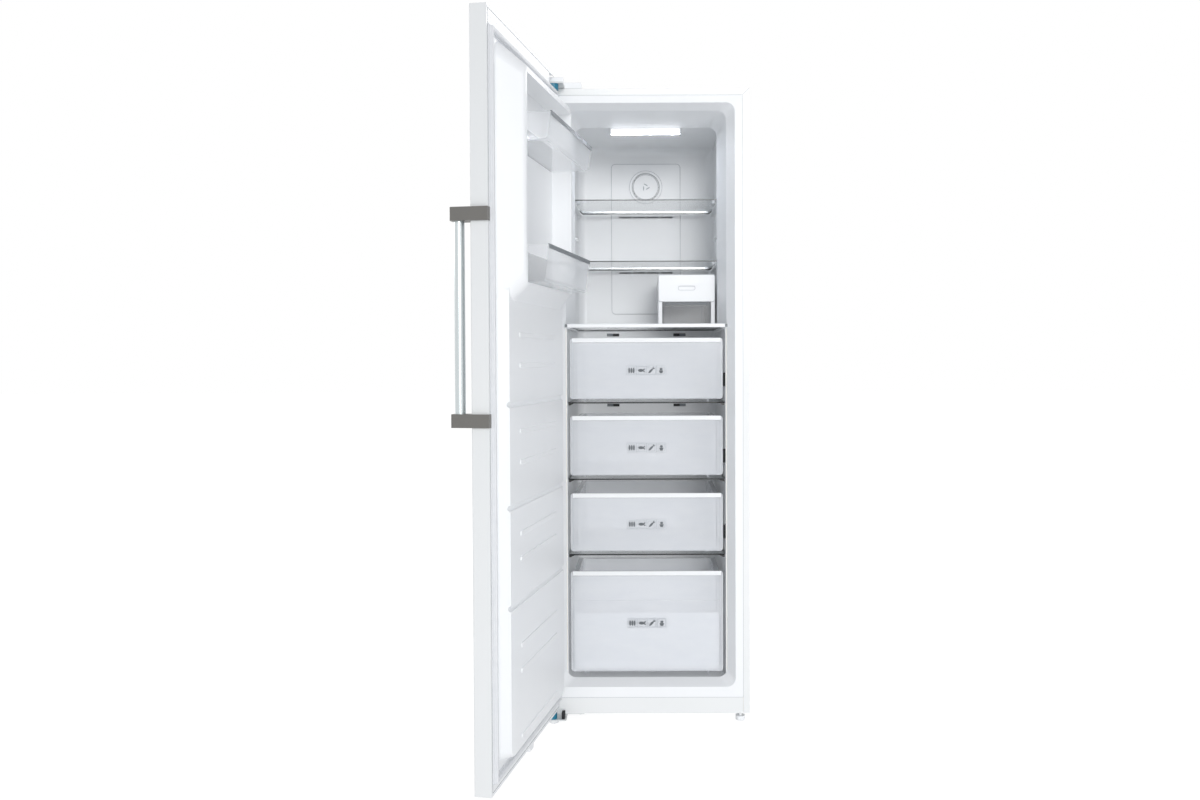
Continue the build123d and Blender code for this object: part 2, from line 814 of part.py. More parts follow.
# ------------------------------------------------------------------ evaporator, fan and duct panel
coil_y = hold_back + niche_depth - fin_depth / 2 - coil_clearance
coil_reach = (fin_count + 1) * fin_pitch
coil_passes = int(evaporator_height // coil_pitch)
coil_path = serpentine(
    (-coil_reach / 2, coil_y, evaporator_bottom + coil_pitch / 2),
    (coil_reach, 0, 0),
    (0, 0, coil_pitch),
    coil_passes,
)
with BuildPart() as evaporator:
    evaporator_middle = evaporator_bottom + evaporator_height / 2
    with Locations((0, coil_y, evaporator_middle)):
        with GridLocations(fin_pitch, 1, fin_count, 1):
            Box(fin_sheet, fin_depth, evaporator_height)
    with BuildSketch(Plane(coil_path @ 0, z_dir=coil_path % 0)):
        Circle(coil_radius)
    sweep(path=coil_path)
    # two hangers reach back to the niche's wall
    for x in (-coil_reach / 4, coil_reach / 4):
        block((x - fin_pitch, x + fin_pitch), (coil_y, hold_back + niche_depth),
              (evaporator_middle, evaporator_middle + coil_pitch))
save("evaporator", evaporator)

panel_front = hold_back - panel_thickness
panel_side = niche_width / 2 + panel_margin
panel_low = niche_bottom - panel_margin
panel_high = niche_top + panel_margin
with BuildPart() as duct_panel:
    panel_face = frame_face(hold_back, (-panel_side, panel_side), (panel_low, panel_high), panel_radius)
    extrude(panel_face, amount=panel_thickness)
    fillet(duct_panel.faces().sort_by(Axis.Y)[0].edges(), panel_edge_radius)
    with BuildSketch(upright(hold_back)):
        with Locations((0, disc_height)):
            Circle(disc_hole_radius)
        for shelf_top in shelf_tops:
            for shift, width in zip(slot_shifts, slot_widths):
                with Locations((0, shelf_top + shift)):
                    with GridLocations(slot_pitch, 1, slots_per_row, 1):
                        SlotOverall(slot_length, width)
    extrude(amount=panel_thickness, both=True, mode=Mode.SUBTRACT)
save("duct_panel", duct_panel)

with BuildPart() as duct_disc:
    with BuildSketch(upright(panel_front)):
        with Locations((0, disc_height)):
            Circle(disc_radius)
    extrude(amount=disc_proud)
    with BuildSketch(upright(panel_front - disc_proud)):
        with Locations((0, disc_height)):
            Circle(disc_cap_radius + disc_groove)
            Circle(disc_cap_radius, mode=Mode.SUBTRACT)
    extrude(amount=-disc_proud / 2, mode=Mode.SUBTRACT)
    # air leaves through a ring of slits in the groove
    with BuildSketch(upright(panel_front)):
        with Locations((0, disc_height)):
            with PolarLocations(disc_cap_radius + disc_groove / 2, disc_slits):
                Rectangle(disc_groove, disc_slit_width)
    extrude(amount=disc_proud, both=True, mode=Mode.SUBTRACT)
save("duct_disc", duct_disc)

fan_y = hold_back + fan_setback
with BuildPart() as fan_impeller:
    with BuildSketch(upright(fan_y)):
        with Locations((0, disc_height)):
            Circle(fan_hub_radius)
    extrude(amount=-fan_hub_length)
    with Locations((0, fan_y + fan_hub_length / 2, disc_height)):
        for i in range(fan_blades):
            turn = Location((0, 0, 0), (0, 360 * i / fan_blades, 0))
            blade_middle = (fan_hub_radius + fan_radius) / 2
            with Locations(turn * Location((blade_middle, 0, 0), (fan_pitch_degrees, 0, 0))):
                Box(fan_radius - fan_hub_radius + blade_root, blade_sheet, blade_width)
    with BuildSketch(upright(fan_y + fan_hub_length)):
        with Locations((0, disc_height)):
            Circle(fan_shaft_radius + shaft_clearance)
    extrude(amount=fan_shaft_length, mode=Mode.SUBTRACT)
save("fan_impeller", fan_impeller)

motor_y = fan_y + fan_hub_length + fan_motor_gap
with BuildPart() as fan_motor:
    with BuildSketch(upright(motor_y)):
        with Locations((0, disc_height)):
            Circle(fan_motor_radius)
    extrude(amount=-fan_motor_length)
    with BuildSketch(upright(motor_y)):
        with Locations((0, disc_height)):
            Circle(fan_shaft_radius)
    extrude(amount=fan_shaft_length)
    # a foot carries the motor on the niche's rear wall
    block((-fan_motor_radius, fan_motor_radius), (motor_y + fan_motor_length / 2, hold_back + niche_depth),
          (disc_height - fan_hub_radius, disc_height + fan_hub_radius))
save("fan_motor", fan_motor)

# ------------------------------------------------------------------ lamp under the hold's ceiling
lamp_front = front + pillar_depth + lamp_clearance
lamp_low = ceiling - lamp_height
with BuildPart() as lamp_housing:
    block((-lamp_width / 2, lamp_width / 2), (lamp_front, lamp_front + lamp_depth), (lamp_low, ceiling))
    fillet(lamp_housing.edges().filter_by(Axis.Z), lamp_radius)
    block((-diffuser_width / 2, diffuser_width / 2), (lamp_front, lamp_front + diffuser_depth),
          (lamp_low + lamp_wall, lamp_low + lamp_wall + diffuser_height), mode=Mode.SUBTRACT)
save("lamp_housing", lamp_housing)

with BuildPart() as lamp_diffuser:
    block((-diffuser_width / 2, diffuser_width / 2),
          (lamp_front - diffuser_proud, lamp_front + diffuser_depth),
          (lamp_low + lamp_wall, lamp_low + lamp_wall + diffuser_height))
    fillet(lamp_diffuser.faces().sort_by(Axis.Y)[0].edges(), diffuser_proud / 2)
save("lamp_diffuser", lamp_diffuser)

# ------------------------------------------------------------------ glass shelves
shelf_half = recess_half - shelf_side_gap
shelf_front = front + shelf_setback
shelf_back = hold_back - shelf_back_gap


def shelf_outline(inset):
    """The shelf's outline seen from above, its rear corners cut off, drawn in by the given amount."""
    half = shelf_half - inset
    rear_half = half - shelf_chamfer_width
    rear = shelf_back - inset
    with BuildSketch() as outline:
        with BuildLine():
            Polyline(
                (-half, shelf_front),
                (half, shelf_front),
                (half, rear - shelf_chamfer_length),
                (rear_half, rear),
                (-rear_half, rear),
                (-half, rear - shelf_chamfer_length),
                close=True,
            )
        make_face()
    return outline.sketch


for name, top in zip(("upper_shelf", "lower_shelf"), shelf_tops):
    with BuildPart() as glass_shelf:
        extrude(shelf_outline(0), amount=glass)
        chamfer(glass_shelf.faces().sort_by(Axis.Y)[0].edges().filter_by(Axis.X), glass_edge)
    glass_shelf.part.move(Location((0, 0, top - glass)))
    save(name, glass_shelf)

with BuildPart() as shelf_rear_rails:
    for top in shelf_tops:
        with BuildSketch(level(top)):
            add(shelf_outline(0))
            add(shelf_outline(rail_depth), mode=Mode.SUBTRACT)
            with Locations((0, shelf_back - rail_length)):
                Rectangle(cabinet_width, 2 * hold_depth, align=(Align.CENTER, Align.MAX), mode=Mode.SUBTRACT)
        extrude(amount=rail_height)
save("shelf_rear_rails", shelf_rear_rails)

# ------------------------------------------------------------------ glass over and between the drawers
glass_half = drawer_zone_half - separator_side_gap
glass_back = hold_back - separator_back_gap
section_front = front + section_trim_setback
with BuildPart() as section_glass:
    block((-glass_half, glass_half), (section_front + trim_wall, glass_back),
          (section_top - glass, section_top))
    fillet(section_glass.edges().filter_by(Axis.Z).sort_by(Axis.Y)[-2:], corner_radius)
save("section_glass", section_glass)

with BuildPart() as section_trim:
    trim_middle = section_top - glass / 2
    trim_half = glass_half + section_trim_overhang
    block((-trim_half, trim_half), (section_front, section_front + section_trim_depth),
          (trim_middle - section_trim_height / 2, trim_middle + section_trim_height / 2))
    fillet(section_trim.faces().sort_by(Axis.Y)[0].edges().filter_by(Axis.X), trim_wall)
    block((-glass_half, glass_half),
          (section_front + trim_wall, section_front + section_trim_depth + overshoot),
          (section_top - glass, section_top), mode=Mode.SUBTRACT)
save("section_trim", section_trim)

with BuildPart() as separator_shelves:
    for top in separator_tops:
        block((-glass_half, glass_half), (front + separator_setback, glass_back), (top - glass, top))
    fillet(separator_shelves.edges().filter_by(Axis.Z).group_by(Axis.Y)[-1], corner_radius)
save("separator_shelves", separator_shelves)

with BuildPart() as side_buffers:
    for bottom in drawer_bottoms[1:]:
        middle = bottom + buffer_rise
        block((drawer_zone_half - buffer_width, drawer_zone_half),
              (front + drawer_setback, front + drawer_setback + buffer_depth),
              (middle - buffer_length / 2, middle + buffer_length / 2))
    fillet(side_buffers.faces().group_by(Axis.X)[0].edges(), rubber_edge)
save("side_buffers", side_buffers)

# ------------------------------------------------------------------ drawers
drawer_front = front + drawer_setback
drawer_front_half = drawer_zone_half - drawer_front_gap
rim_half = drawer_zone_half - drawer_rim_gap
body_half = rim_half - drawer_rim_width
vent_step = (2 * (body_half - vent_inset) + vent_gap) / vent_count
# the lowest drawer comes first and carries the highest number
for number, bottom, top, support in zip((4, 3, 2, 1), drawer_bottoms, drawer_tops, drawer_supports):
    low = support == hold_floor
    rear = front + hump_depth - low_drawer_back_gap if low else hold_back - drawer_back_gap
    rim_top = top - strip_height
    with BuildPart() as basket:
        # the tub, hollowed from above
        with BuildSketch(level(bottom)):
            with Locations((0, (drawer_front + rear - drawer_rim_width) / 2)):
                Rectangle(2 * body_half, rear - drawer_rim_width - drawer_front)
        extrude(amount=rim_top - bottom)
        fillet(basket.edges().filter_by(Axis.Z).sort_by(Axis.Y)[-2:], drawer_corner)
        offset(amount=-drawer_wall, openings=basket.faces().sort_by(Axis.Z)[-1])
        # the rim round the sides and the rear
        with BuildSketch(level(rim_top - drawer_wall)):
            with Locations((0, (drawer_front + rear) / 2)):
                Rectangle(2 * rim_half, rear - drawer_front)
            with Locations((0, (drawer_front + rear) / 2 - drawer_rim_width)):
                Rectangle(2 * (body_half - drawer_wall), rear - drawer_front, mode=Mode.SUBTRACT)
        extrude(amount=drawer_wall)
        # the front panel, wider than the tub
        with BuildSketch(upright(drawer_front)):
            with Locations((0, (bottom + top) / 2)):
                RectangleRounded(2 * drawer_front_half, top - bottom, drawer_front_radius)
        extrude(amount=-drawer_front_wall)
        # two runners under the floor
        for hand in (-1, 1):
            x = hand * (body_half - runner_inset)
            block((x - runner_width / 2, x + runner_width / 2),
                  (front + separator_setback + runner_inset, rear - runner_inset),
                  (support + slide_gap, bottom))
        if low:
            # vents through the floor and a ridge across the front
            with BuildSketch(level(bottom)):
                with Locations((0, rear - drawer_rim_width - vent_setback)):
                    with GridLocations(vent_step, 1, vent_count, 1):
                        SlotOverall(vent_step - vent_gap, vent_width)
            extrude(amount=drawer_wall + overshoot, mode=Mode.SUBTRACT)
            with BuildSketch(upright(drawer_front)):
                with Locations((0, bottom + ridge_rise)):
                    Rectangle(2 * drawer_front_half, ridge_width)
            extrude(amount=ridge_proud)
    save(f"drawer_{number}_basket", basket)
    strip_half = drawer_front_half - strip_inset
    with BuildPart() as strip:
        block((-strip_half, strip_half), (drawer_front - strip_depth, drawer_front),
              (top - strip_height, top))
        fillet(strip.faces().sort_by(Axis.Y)[0].edges().filter_by(Axis.X), strip_depth / 2)
    save(f"drawer_{number}_strip", strip)

# ------------------------------------------------------------------ ice maker
ice_right = recess_half - ice_side_gap
ice_left = ice_right - ice_width
ice_front = front + ice_setback
ice_back = hold_back - ice_rear_gap
ice_bottom = section_top
ice_top = ice_bottom + ice_height
bin_low = ice_bottom + ice_wall + slide_gap
bin_top = bin_low + bin_height
tray_low = bin_top + slide_gap + ice_wall
with BuildPart() as ice_housing:
    block((ice_left, ice_right), (ice_front, ice_back), (ice_bottom, ice_top))
    fillet(ice_housing.edges().filter_by(Axis.Y), ice_radius)
    # the bin's bay below and the tray drawer's bay above
    block((ice_left + ice_frame, ice_right - ice_frame), (ice_front, ice_back - ice_wall),
          (ice_bottom + ice_wall, bin_top + slide_gap), mode=Mode.SUBTRACT)
    block((ice_left + ice_wall, ice_right - ice_wall), (ice_front, ice_back - ice_wall),
          (tray_low, ice_top - ice_wall), mode=Mode.SUBTRACT)
save("ice_housing", ice_housing)

bin_left = ice_left + ice_frame + tray_gap
bin_right = ice_right - ice_frame - tray_gap
with BuildPart() as ice_bin:
    block((bin_left, bin_right), (ice_front + bin_setback, ice_back - ice_wall - tray_gap),
          (bin_low, bin_top))
    fillet(ice_bin.edges().filter_by(Axis.Z), bin_radius)
    offset(amount=-bin_wall, openings=ice_bin.faces().sort_by(Axis.Z)[-1])
save("ice_bin", ice_bin)

drawer_left = ice_left + ice_wall + tray_gap
drawer_right = ice_right - ice_wall - tray_gap
drawer_low = tray_low + slide_gap
cube_low = drawer_low + ice_wall
with BuildPart() as ice_tray_drawer:
    # the front panel covers the housing's edges, the tub behind it holds the tray
    block((ice_left + slide_gap, ice_right - slide_gap),
          (ice_front - tray_front_proud, ice_front - slide_gap),
          (tray_low - ice_wall, ice_top))
    fillet(ice_tray_drawer.edges().filter_by(Axis.Y), tray_front_radius)
    block((drawer_left, drawer_right), (ice_front - slide_gap, ice_back - ice_wall - tray_gap),
          (drawer_low, drawer_low + tub_height))
    block((drawer_left + ice_wall, drawer_right - ice_wall),
          (ice_front + ice_wall, ice_back - 2 * ice_wall - tray_gap),
          (cube_low, drawer_low + tub_height), mode=Mode.SUBTRACT)
    # a shallow finger grip
    with BuildSketch(upright(ice_front - tray_front_proud)):
        with Locations(((ice_left + ice_right) / 2, (tray_low + ice_top) / 2)):
            SlotOverall(grip_width, grip_height)
    extrude(amount=-grip_depth, mode=Mode.SUBTRACT)
save("ice_tray_drawer", ice_tray_drawer)

tray_x = (drawer_left + ice_wall + tray_gap, drawer_right - ice_wall - tray_gap)
tray_y = (ice_front + ice_wall + tray_gap, ice_back - 2 * ice_wall - 2 * tray_gap)
cube_x = (tray_x[1] - tray_x[0] - cube_wall) / cube_rows
cube_y = (tray_y[1] - tray_y[0] - cube_wall) / cube_columns
with BuildPart() as ice_cube_tray:
    block(tray_x, tray_y, (cube_low, cube_low + cube_tray_height))
    with Locations(((tray_x[0] + tray_x[1]) / 2, (tray_y[0] + tray_y[1]) / 2, cube_low + cube_wall)):
        with GridLocations(cube_x, cube_y, cube_rows, cube_columns):
            Box(cube_x - cube_wall, cube_y - cube_wall, cube_tray_height,
                align=(Align.CENTER, Align.CENTER, Align.MIN), mode=Mode.SUBTRACT)
save("ice_cube_tray", ice_cube_tray)

# ------------------------------------------------------------------ door, drawn shut
door_inner_x = (-side + door_skin_sheet, side - door_skin_sheet)
door_front = door_face - door_thickness
foam_front = door_front + door_skin_sheet
liner_x = (-side + door_return + seam, side - door_return - seam)
cap_seam = door_top - cap_height
bottom_seam = door_bottom + cap_height
recess_x = (-side, -side + recess_width)
recess_y = (foam_front + recess_edge, door_face)


def hinge_recess(mode):
    """The hollow at the door's upper hinge corner, open towards the cabinet, the hinge side and the top."""
    block((recess_x[0] - overshoot, recess_x[1]), (recess_y[0], recess_y[1] + overshoot),
          (recess_floor, door_top + overshoot), mode=mode)


def door_core(z, rear=door_face):
    """The space inside the door's skin over the range z, back to the given depth."""
    with BuildPart() as core:
        block(door_inner_x, (foam_front, rear), z)
        fillet(core.faces().sort_by(Axis.Y)[0].edges().filter_by(Axis.Z), door_edge_radius - door_skin_sheet)
    return core.part


with BuildPart() as door_skin:
    block((-side, side), (door_front, door_face), (door_bottom, door_top))
    fillet(door_skin.edges().filter_by(Axis.Z).group_by(Axis.Y)[0], door_edge_radius)
    add(door_core((door_bottom, door_top)), mode=Mode.SUBTRACT)
    # narrow returns hold the door's liner
    for hand in (-1, 1):
        block(sorted((hand * side, hand * (side - door_return))), (door_face - door_skin_sheet, door_face),
              (bottom_seam, cap_seam))
    hinge_recess(Mode.SUBTRACT)

with BuildPart() as door_top_cap:
    # the cap proper, hollow below
    add(door_core((cap_seam, door_top)))
    block((door_inner_x[0] + cap_wall, door_inner_x[1] - cap_wall), (foam_front, door_face - cap_wall),
          (cap_seam, door_top - cap_wall), mode=Mode.SUBTRACT)
    # the walls and floor round the hinge recess, with a boss for the pin
    block((door_inner_x[0], recess_x[1] + cap_wall),
          (foam_front + door_edge_radius, door_face - door_liner_wall),
          (recess_floor - cap_wall, door_top))
    block((door_inner_x[0] + door_edge_radius, recess_x[1] + cap_wall),
          (foam_front, door_face - door_liner_wall),
          (recess_floor - cap_wall, door_top))
    post(pin_x, pin_y, (recess_floor - pin_reach - cap_wall, recess_floor), boss_radius)
    hinge_recess(Mode.SUBTRACT)
    post(pin_x, pin_y, (recess_floor - pin_reach - pin_end_gap, recess_floor), pin_radius + pin_clearance,
         mode=Mode.SUBTRACT)
    # a lid over the recess's far end
    block((recess_x[0] + recess_lid_start, recess_x[1] + cap_wall), (foam_front, door_face),
          (door_top - recess_lid, door_top))

with BuildPart() as door_bottom_cap:
    add(door_core((door_bottom, bottom_seam)))
    block((door_inner_x[0] + cap_wall, door_inner_x[1] - cap_wall), (foam_front, door_face - cap_wall),
          (door_bottom + cap_wall, bottom_seam), mode=Mode.SUBTRACT)
    post(pin_x, pin_y, (door_bottom, door_bottom + pin_reach + cap_wall), boss_radius)
    post(pin_x, pin_y, (door_bottom, door_bottom + pin_reach + pin_end_gap), pin_radius + pin_clearance,
         mode=Mode.SUBTRACT)
    # a closing lug under the edge
    block((-side + lug_start, -side + lug_start + lug_width), (door_face - lug_depth, door_face),
          (door_bottom - lug_height, door_bottom))


plateau_bottom = mouth_floor + plateau_inset
form_half = side - form_inset
dyke_bottom = section_top + dyke_bottom_rise
dyke_top = cabinet_top - dyke_top_inset


def form_face(rise, x, z, radius):
    """A rounded rectangle in the upright plane that stands rise in front of the door's inner face."""
    return frame_face(door_face + rise, x, z, radius)


def door_form(grow, behind):
    """The raised form on the door's inner side, grown all round, and reaching behind the inner face."""
    foot = form_half + grow
    low_foot = foot - plateau_step
    crest_bottom = dyke_bottom + dyke_bottom_draft - grow
    crest_top = dyke_top - dyke_top_draft + grow
    low_half = low_foot - plateau_draft
    crest_half = foot - dyke_side_draft
    with BuildPart() as form:
        # the low plateau behind the drawers
        loft([
            form_face(0, (-low_foot, low_foot), (plateau_bottom - grow, dyke_bottom + dyke_bottom_draft),
                      form_radius),
            form_face(plateau_rise + grow, (-low_half, low_half),
                      (plateau_bottom + plateau_draft - grow, dyke_bottom + dyke_bottom_draft),
                      form_radius),
        ])
        # the high dyke round the pockets
        loft([
            form_face(0, (-foot, foot), (dyke_bottom - grow, dyke_top + grow), dyke_radius),
            form_face(dyke_rise + grow, (-crest_half, crest_half), (crest_bottom, crest_top), crest_radius),
        ])
        fillet(form.faces().sort_by(Axis.Y)[-1].edges(), crest_round + grow)
        # behind the inner face both go straight on with the same outlines
        extrude(form_face(0, (-low_foot, low_foot), (plateau_bottom - grow, dyke_bottom + dyke_bottom_draft),
                          form_radius), amount=behind)
        extrude(form_face(0, (-foot, foot), (dyke_bottom - grow, dyke_top + grow), dyke_radius),
                amount=behind)
    return form.part


pocket_half = form_half - dyke_side_draft - dyke_crest
pocket_floor = dyke_bottom + dyke_bottom_draft + dyke_lip
panel_top = dyke_top - dyke_top_draft - dyke_crest


def pocket_panel(grow):
    """The hollow inside the dyke that holds the pockets, grown by the given amount."""
    with BuildPart() as hollow:
        extrude(
            form_face(panel_rise - grow, (-pocket_half - grow, pocket_half + grow),
                      (pocket_floor - grow, panel_top + grow), panel_corner + grow),
            amount=-dyke_rise,
        )
    return hollow.part


groove_heights = [top + shift for top, shift in zip(separator_tops, groove_shifts)]
rib_length = 2 * (form_half - plateau_step - plateau_draft - rib_inset)


def groove_rods(radius):
    """Level round rods whose lower halves press the grooves into the plateau."""
    with BuildPart() as rods:
        for height in groove_heights:
            with Locations((0, door_face + plateau_rise, height)):
                Cylinder(radius, cabinet_width, rotation=(0, 90, 0))
    return rods.part


with BuildPart() as form_filling:
    add(door_form(-door_liner_wall, door_liner_wall + overshoot))
    add(pocket_panel(door_liner_wall), mode=Mode.SUBTRACT)
    add(groove_rods(groove_radius + door_liner_wall), mode=Mode.SUBTRACT)

with BuildPart() as door_liner:
    block(liner_x, (door_face - door_liner_wall, door_face), (bottom_seam + seam, cap_seam - seam))
    add(door_form(0, door_liner_wall / 2))
    add(pocket_panel(0), mode=Mode.SUBTRACT)
    add(groove_rods(groove_radius), mode=Mode.SUBTRACT)
    add(form_filling.part, mode=Mode.SUBTRACT)
    # embossed ribs between the grooves
    for start, drops in zip(groove_heights + [section_top], rib_drops):
        for drop in drops:
            # each rib starts halfway inside the wall that carries it
            with BuildSketch(upright(door_face + plateau_rise - door_liner_wall / 2)):
                with Locations((0, start - drop)):
                    SlotOverall(rib_length, rib_height)
            extrude(amount=-rib_proud - door_liner_wall / 2, taper=rib_draft_degrees)
    hinge_recess(Mode.SUBTRACT)

# everything between the skin, the caps and the liner is foam
with BuildPart() as door_foam:
    add(door_core((door_bottom + cap_wall, door_top - cap_wall), door_face - door_liner_wall))
    add(form_filling.part)
    add(door_top_cap.part, mode=Mode.SUBTRACT)
    add(door_bottom_cap.part, mode=Mode.SUBTRACT)
    hinge_recess(Mode.SUBTRACT)
    block((recess_x[0], recess_x[1] + cap_wall), (foam_front, door_face), (cap_seam, door_top),
          mode=Mode.SUBTRACT)
    for z in ((door_bottom, door_bottom + pin_reach + pin_end_gap),
              (recess_floor - pin_reach - pin_end_gap, recess_floor)):
        post(pin_x, pin_y, z, pin_radius + pin_clearance, mode=Mode.SUBTRACT)

save("door_skin", door_skin, on_door=True)
save("door_top_cap", door_top_cap, on_door=True)
save("door_bottom_cap", door_bottom_cap, on_door=True)
save("door_liner", door_liner, on_door=True)
save("door_foam", door_foam, on_door=True)

# ------------------------------------------------------------------ door gasket
def gasket_ring(inset, width):
    """A rectangular ring seen from the front, drawn in from the gasket's outline by the given amount."""
    half = side - gasket_inset - inset
    low = underside + gasket_bottom_inset + inset
    high = cabinet_top - gasket_top_inset - inset
    with BuildSketch(upright(door_face)) as ring:
        with Locations((0, (low + high) / 2)):
            Rectangle(2 * half, high - low)
            Rectangle(2 * (half - width), high - low - 2 * width, mode=Mode.SUBTRACT)
    return ring.sketch


lip_inset = (gasket_width - gasket_lip_width) / 2
with BuildPart() as door_gasket:
    extrude(gasket_ring(0, gasket_width), amount=-gasket_base)
    extrude(gasket_ring(lip_inset, gasket_lip_width), amount=-gasket_proud)
    fillet(door_gasket.faces().sort_by(Axis.Y)[-1].edges(), gasket_lip_radius)
save("door_gasket", door_gasket, on_door=True)

# ------------------------------------------------------------------ door pockets
pocket_side = pocket_half - pocket_gap
pockets = (
    ("upper_pocket", dyke_top - upper_pocket_drop, upper_pocket_height, upper_pocket_reach),
    ("lower_pocket", pocket_floor + pocket_gap, lower_pocket_height, lower_pocket_reach),
)
for name, bottom, height, reach in pockets:
    back_y = door_face + panel_rise
    top_y = door_face + reach
    foot_y = top_y - pocket_slope
    with BuildPart() as pocket:
        with BuildSketch(Plane.YZ.offset(-pocket_side)):
            with BuildLine():
                Polyline(
                    (back_y, bottom),
                    (foot_y, bottom),
                    (top_y, bottom + height),
                    (back_y, bottom + height),
                    close=True,
                )
            make_face()
        extrude(amount=2 * pocket_side)
        front_edges = pocket.edges().filter_by(Axis.X).group_by(Axis.Z)[0].sort_by(Axis.Y)[-1:]
        fillet(front_edges, pocket_radius)
        offset(amount=-pocket_wall, openings=pocket.faces().sort_by(Axis.Z)[-1])
    save(name, pocket, on_door=True)

with BuildPart() as pocket_trims:
    for name, bottom, height, reach in pockets:
        top = bottom + height
        rim_y = door_face + reach
        block((-pocket_side, pocket_side), (rim_y, rim_y + trim_overlap),
              (top - trim_height, top + trim_overlap))
        block((-pocket_side, pocket_side), (rim_y - pocket_wall, rim_y + trim_overlap),
              (top, top + trim_overlap))
save("pocket_trims", pocket_trims, on_door=True)

# ------------------------------------------------------------------ handle
handle_side = side + bracket_end_wall
handle_face = door_face - handle_reach
arm_back = door_front - bracket_clearance
hook_face = door_face + bracket_hook
bar_x = handle_side - bar_from_side - bar_radius
bar_y = handle_face + bar_edge + bar_radius
low_bracket = door_bottom + bracket_rise
high_bracket = low_bracket + bracket_spacing
bar_z = (low_bracket + bracket_height - bar_seat, high_bracket + bar_seat)
with BuildPart() as handle_brackets:
    for bottom in (low_bracket, high_bracket):
        # outer arm, plate round the door's edge, and the hook on its inner side
        arm = ((handle_side - bracket_width, handle_side), (handle_face, arm_back))
        plate = ((side + bracket_clearance, handle_side), (handle_face, hook_face))
        hook = ((side - bracket_hook_width, handle_side), (door_face + bracket_clearance, hook_face))
        for x, y in (arm, plate, hook):
            block(x, y, (bottom, bottom + bracket_height))
    corners = handle_brackets.edges().filter_by(Axis.Z).group_by(Axis.Y)[0]
    fillet(corners, bracket_radius)
    post(bar_x, bar_y, bar_z, bar_radius + bar_fit, mode=Mode.SUBTRACT)
save("handle_brackets", handle_brackets, on_door=True)

with BuildPart() as handle_bar:
    post(bar_x, bar_y, bar_z, bar_radius)
save("handle_bar", handle_bar, on_door=True)

# ------------------------------------------------------------------ hinges
with BuildPart() as top_hinge_bracket:
    block(plate_x, plate_y, (cabinet_top, plate_high))
    extrude(arm_outline(plate_high), amount=hinge_arm)
    for x, y in screw_places:
        post(x, y, (cabinet_top, plate_high), screw_radius + thread_gap, mode=Mode.SUBTRACT)
    post(pin_x, pin_y, (plate_high, arm_high), pin_radius, mode=Mode.SUBTRACT)
save("top_hinge_bracket", top_hinge_bracket)

with BuildPart() as bottom_hinge_bracket:
    block(plate_x, plate_y, (plate_low, underside))
    extrude(arm_outline(plate_low), amount=hinge_plate)
    for x, y in screw_places:
        post(x, y, (plate_low, underside), screw_radius + thread_gap, mode=Mode.SUBTRACT)
    post(pin_x, pin_y, (plate_low, underside), pin_radius, mode=Mode.SUBTRACT)
save("bottom_hinge_bracket", bottom_hinge_bracket)


def bush(x_reach, z, radius):
    """A rounded spacer about the hinge pin that reaches along +X, with the pin's hole through it."""
    with BuildPart() as spacer:
        with BuildSketch(level(z[0])):
            with Locations((pin_x, pin_y)):
                Circle(radius)
            with Locations((pin_x + (x_reach - radius) / 2, pin_y)):
                Rectangle(x_reach - radius, 2 * radius)
            with Locations((pin_x + x_reach - radius, pin_y)):
                Circle(radius)
            with Locations((pin_x, pin_y)):
                Circle(pin_radius, mode=Mode.SUBTRACT)
        extrude(amount=z[1] - z[0])
    return spacer


top_bush = bush(arm_width - bush_end_gap, (recess_floor + bush_gap, plate_high), nose_radius - bush_setback)
save("top_hinge_bush", top_bush)
bottom_bush = bush(lower_bush_reach, (underside, door_bottom - bush_gap), lower_bush_radius)
save("bottom_hinge_bush", bottom_bush)

with BuildPart() as top_hinge_cover:
    extrude(arm_outline(arm_high), amount=cover_height)
    block(plate_x, plate_y, (plate_high, cover_high))
    fillet(top_hinge_cover.faces().sort_by(Axis.Z)[-1].edges(), cover_radius)
    # hollow over the plate and its screws
    block((plate_x[0] + cover_wall, plate_x[1] - cover_wall), (plate_y[0] + arm_lap, plate_y[1] - cover_wall),
          (plate_high, cover_high - cover_wall), mode=Mode.SUBTRACT)
    block((arm_x[1] + cover_wall, plate_x[1] - cover_wall),
          (plate_y[0] + cover_wall, plate_y[1] - cover_wall),
          (plate_high, cover_high - cover_wall), mode=Mode.SUBTRACT)
    add(top_hinge_bracket.part, mode=Mode.SUBTRACT)
save("top_hinge_cover", top_hinge_cover)

with BuildPart() as hinge_pins:
    post(pin_x, pin_y, (recess_floor - pin_reach, arm_high), pin_radius)
    post(pin_x, pin_y, (plate_low, door_bottom + pin_reach), pin_radius)
save("hinge_pins", hinge_pins)

with BuildPart() as hinge_screws:
    for x, y in screw_places:
        post(x, y, (plate_high - screw_length, plate_high), screw_radius)
        post(x, y, (plate_high, plate_high + screw_head_height), screw_head_radius)
        post(x, y, (plate_low, plate_low + screw_length), screw_radius)
        post(x, y, (plate_low - screw_head_height, plate_low), screw_head_radius)
save("hinge_screws", hinge_screws)

with BuildPart() as door_stop:
    block((arm_x[1] - stop_width - stop_inset, arm_x[1] - stop_inset),
          (pin_y - stop_ahead, pin_y - stop_ahead + stop_length),
          (underside, underside + stop_height))
    fillet(door_stop.edges().filter_by(Axis.Z), rubber_edge)
save("door_stop", door_stop)
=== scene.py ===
"""Upright freezer with its door open: finishes, small fittings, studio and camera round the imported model.

Every length in the classes is in millimetres and every Blender object is in metres, in the model's own frame:
the origin on the floor under the middle of the cabinet, +Z up, the door side facing -Y.
"""

import json
import logging
import math
from collections.abc import Callable, Iterator
from contextlib import contextmanager
from dataclasses import dataclass
from enum import Enum

import bmesh
import bpy
from mathutils import Matrix, Vector


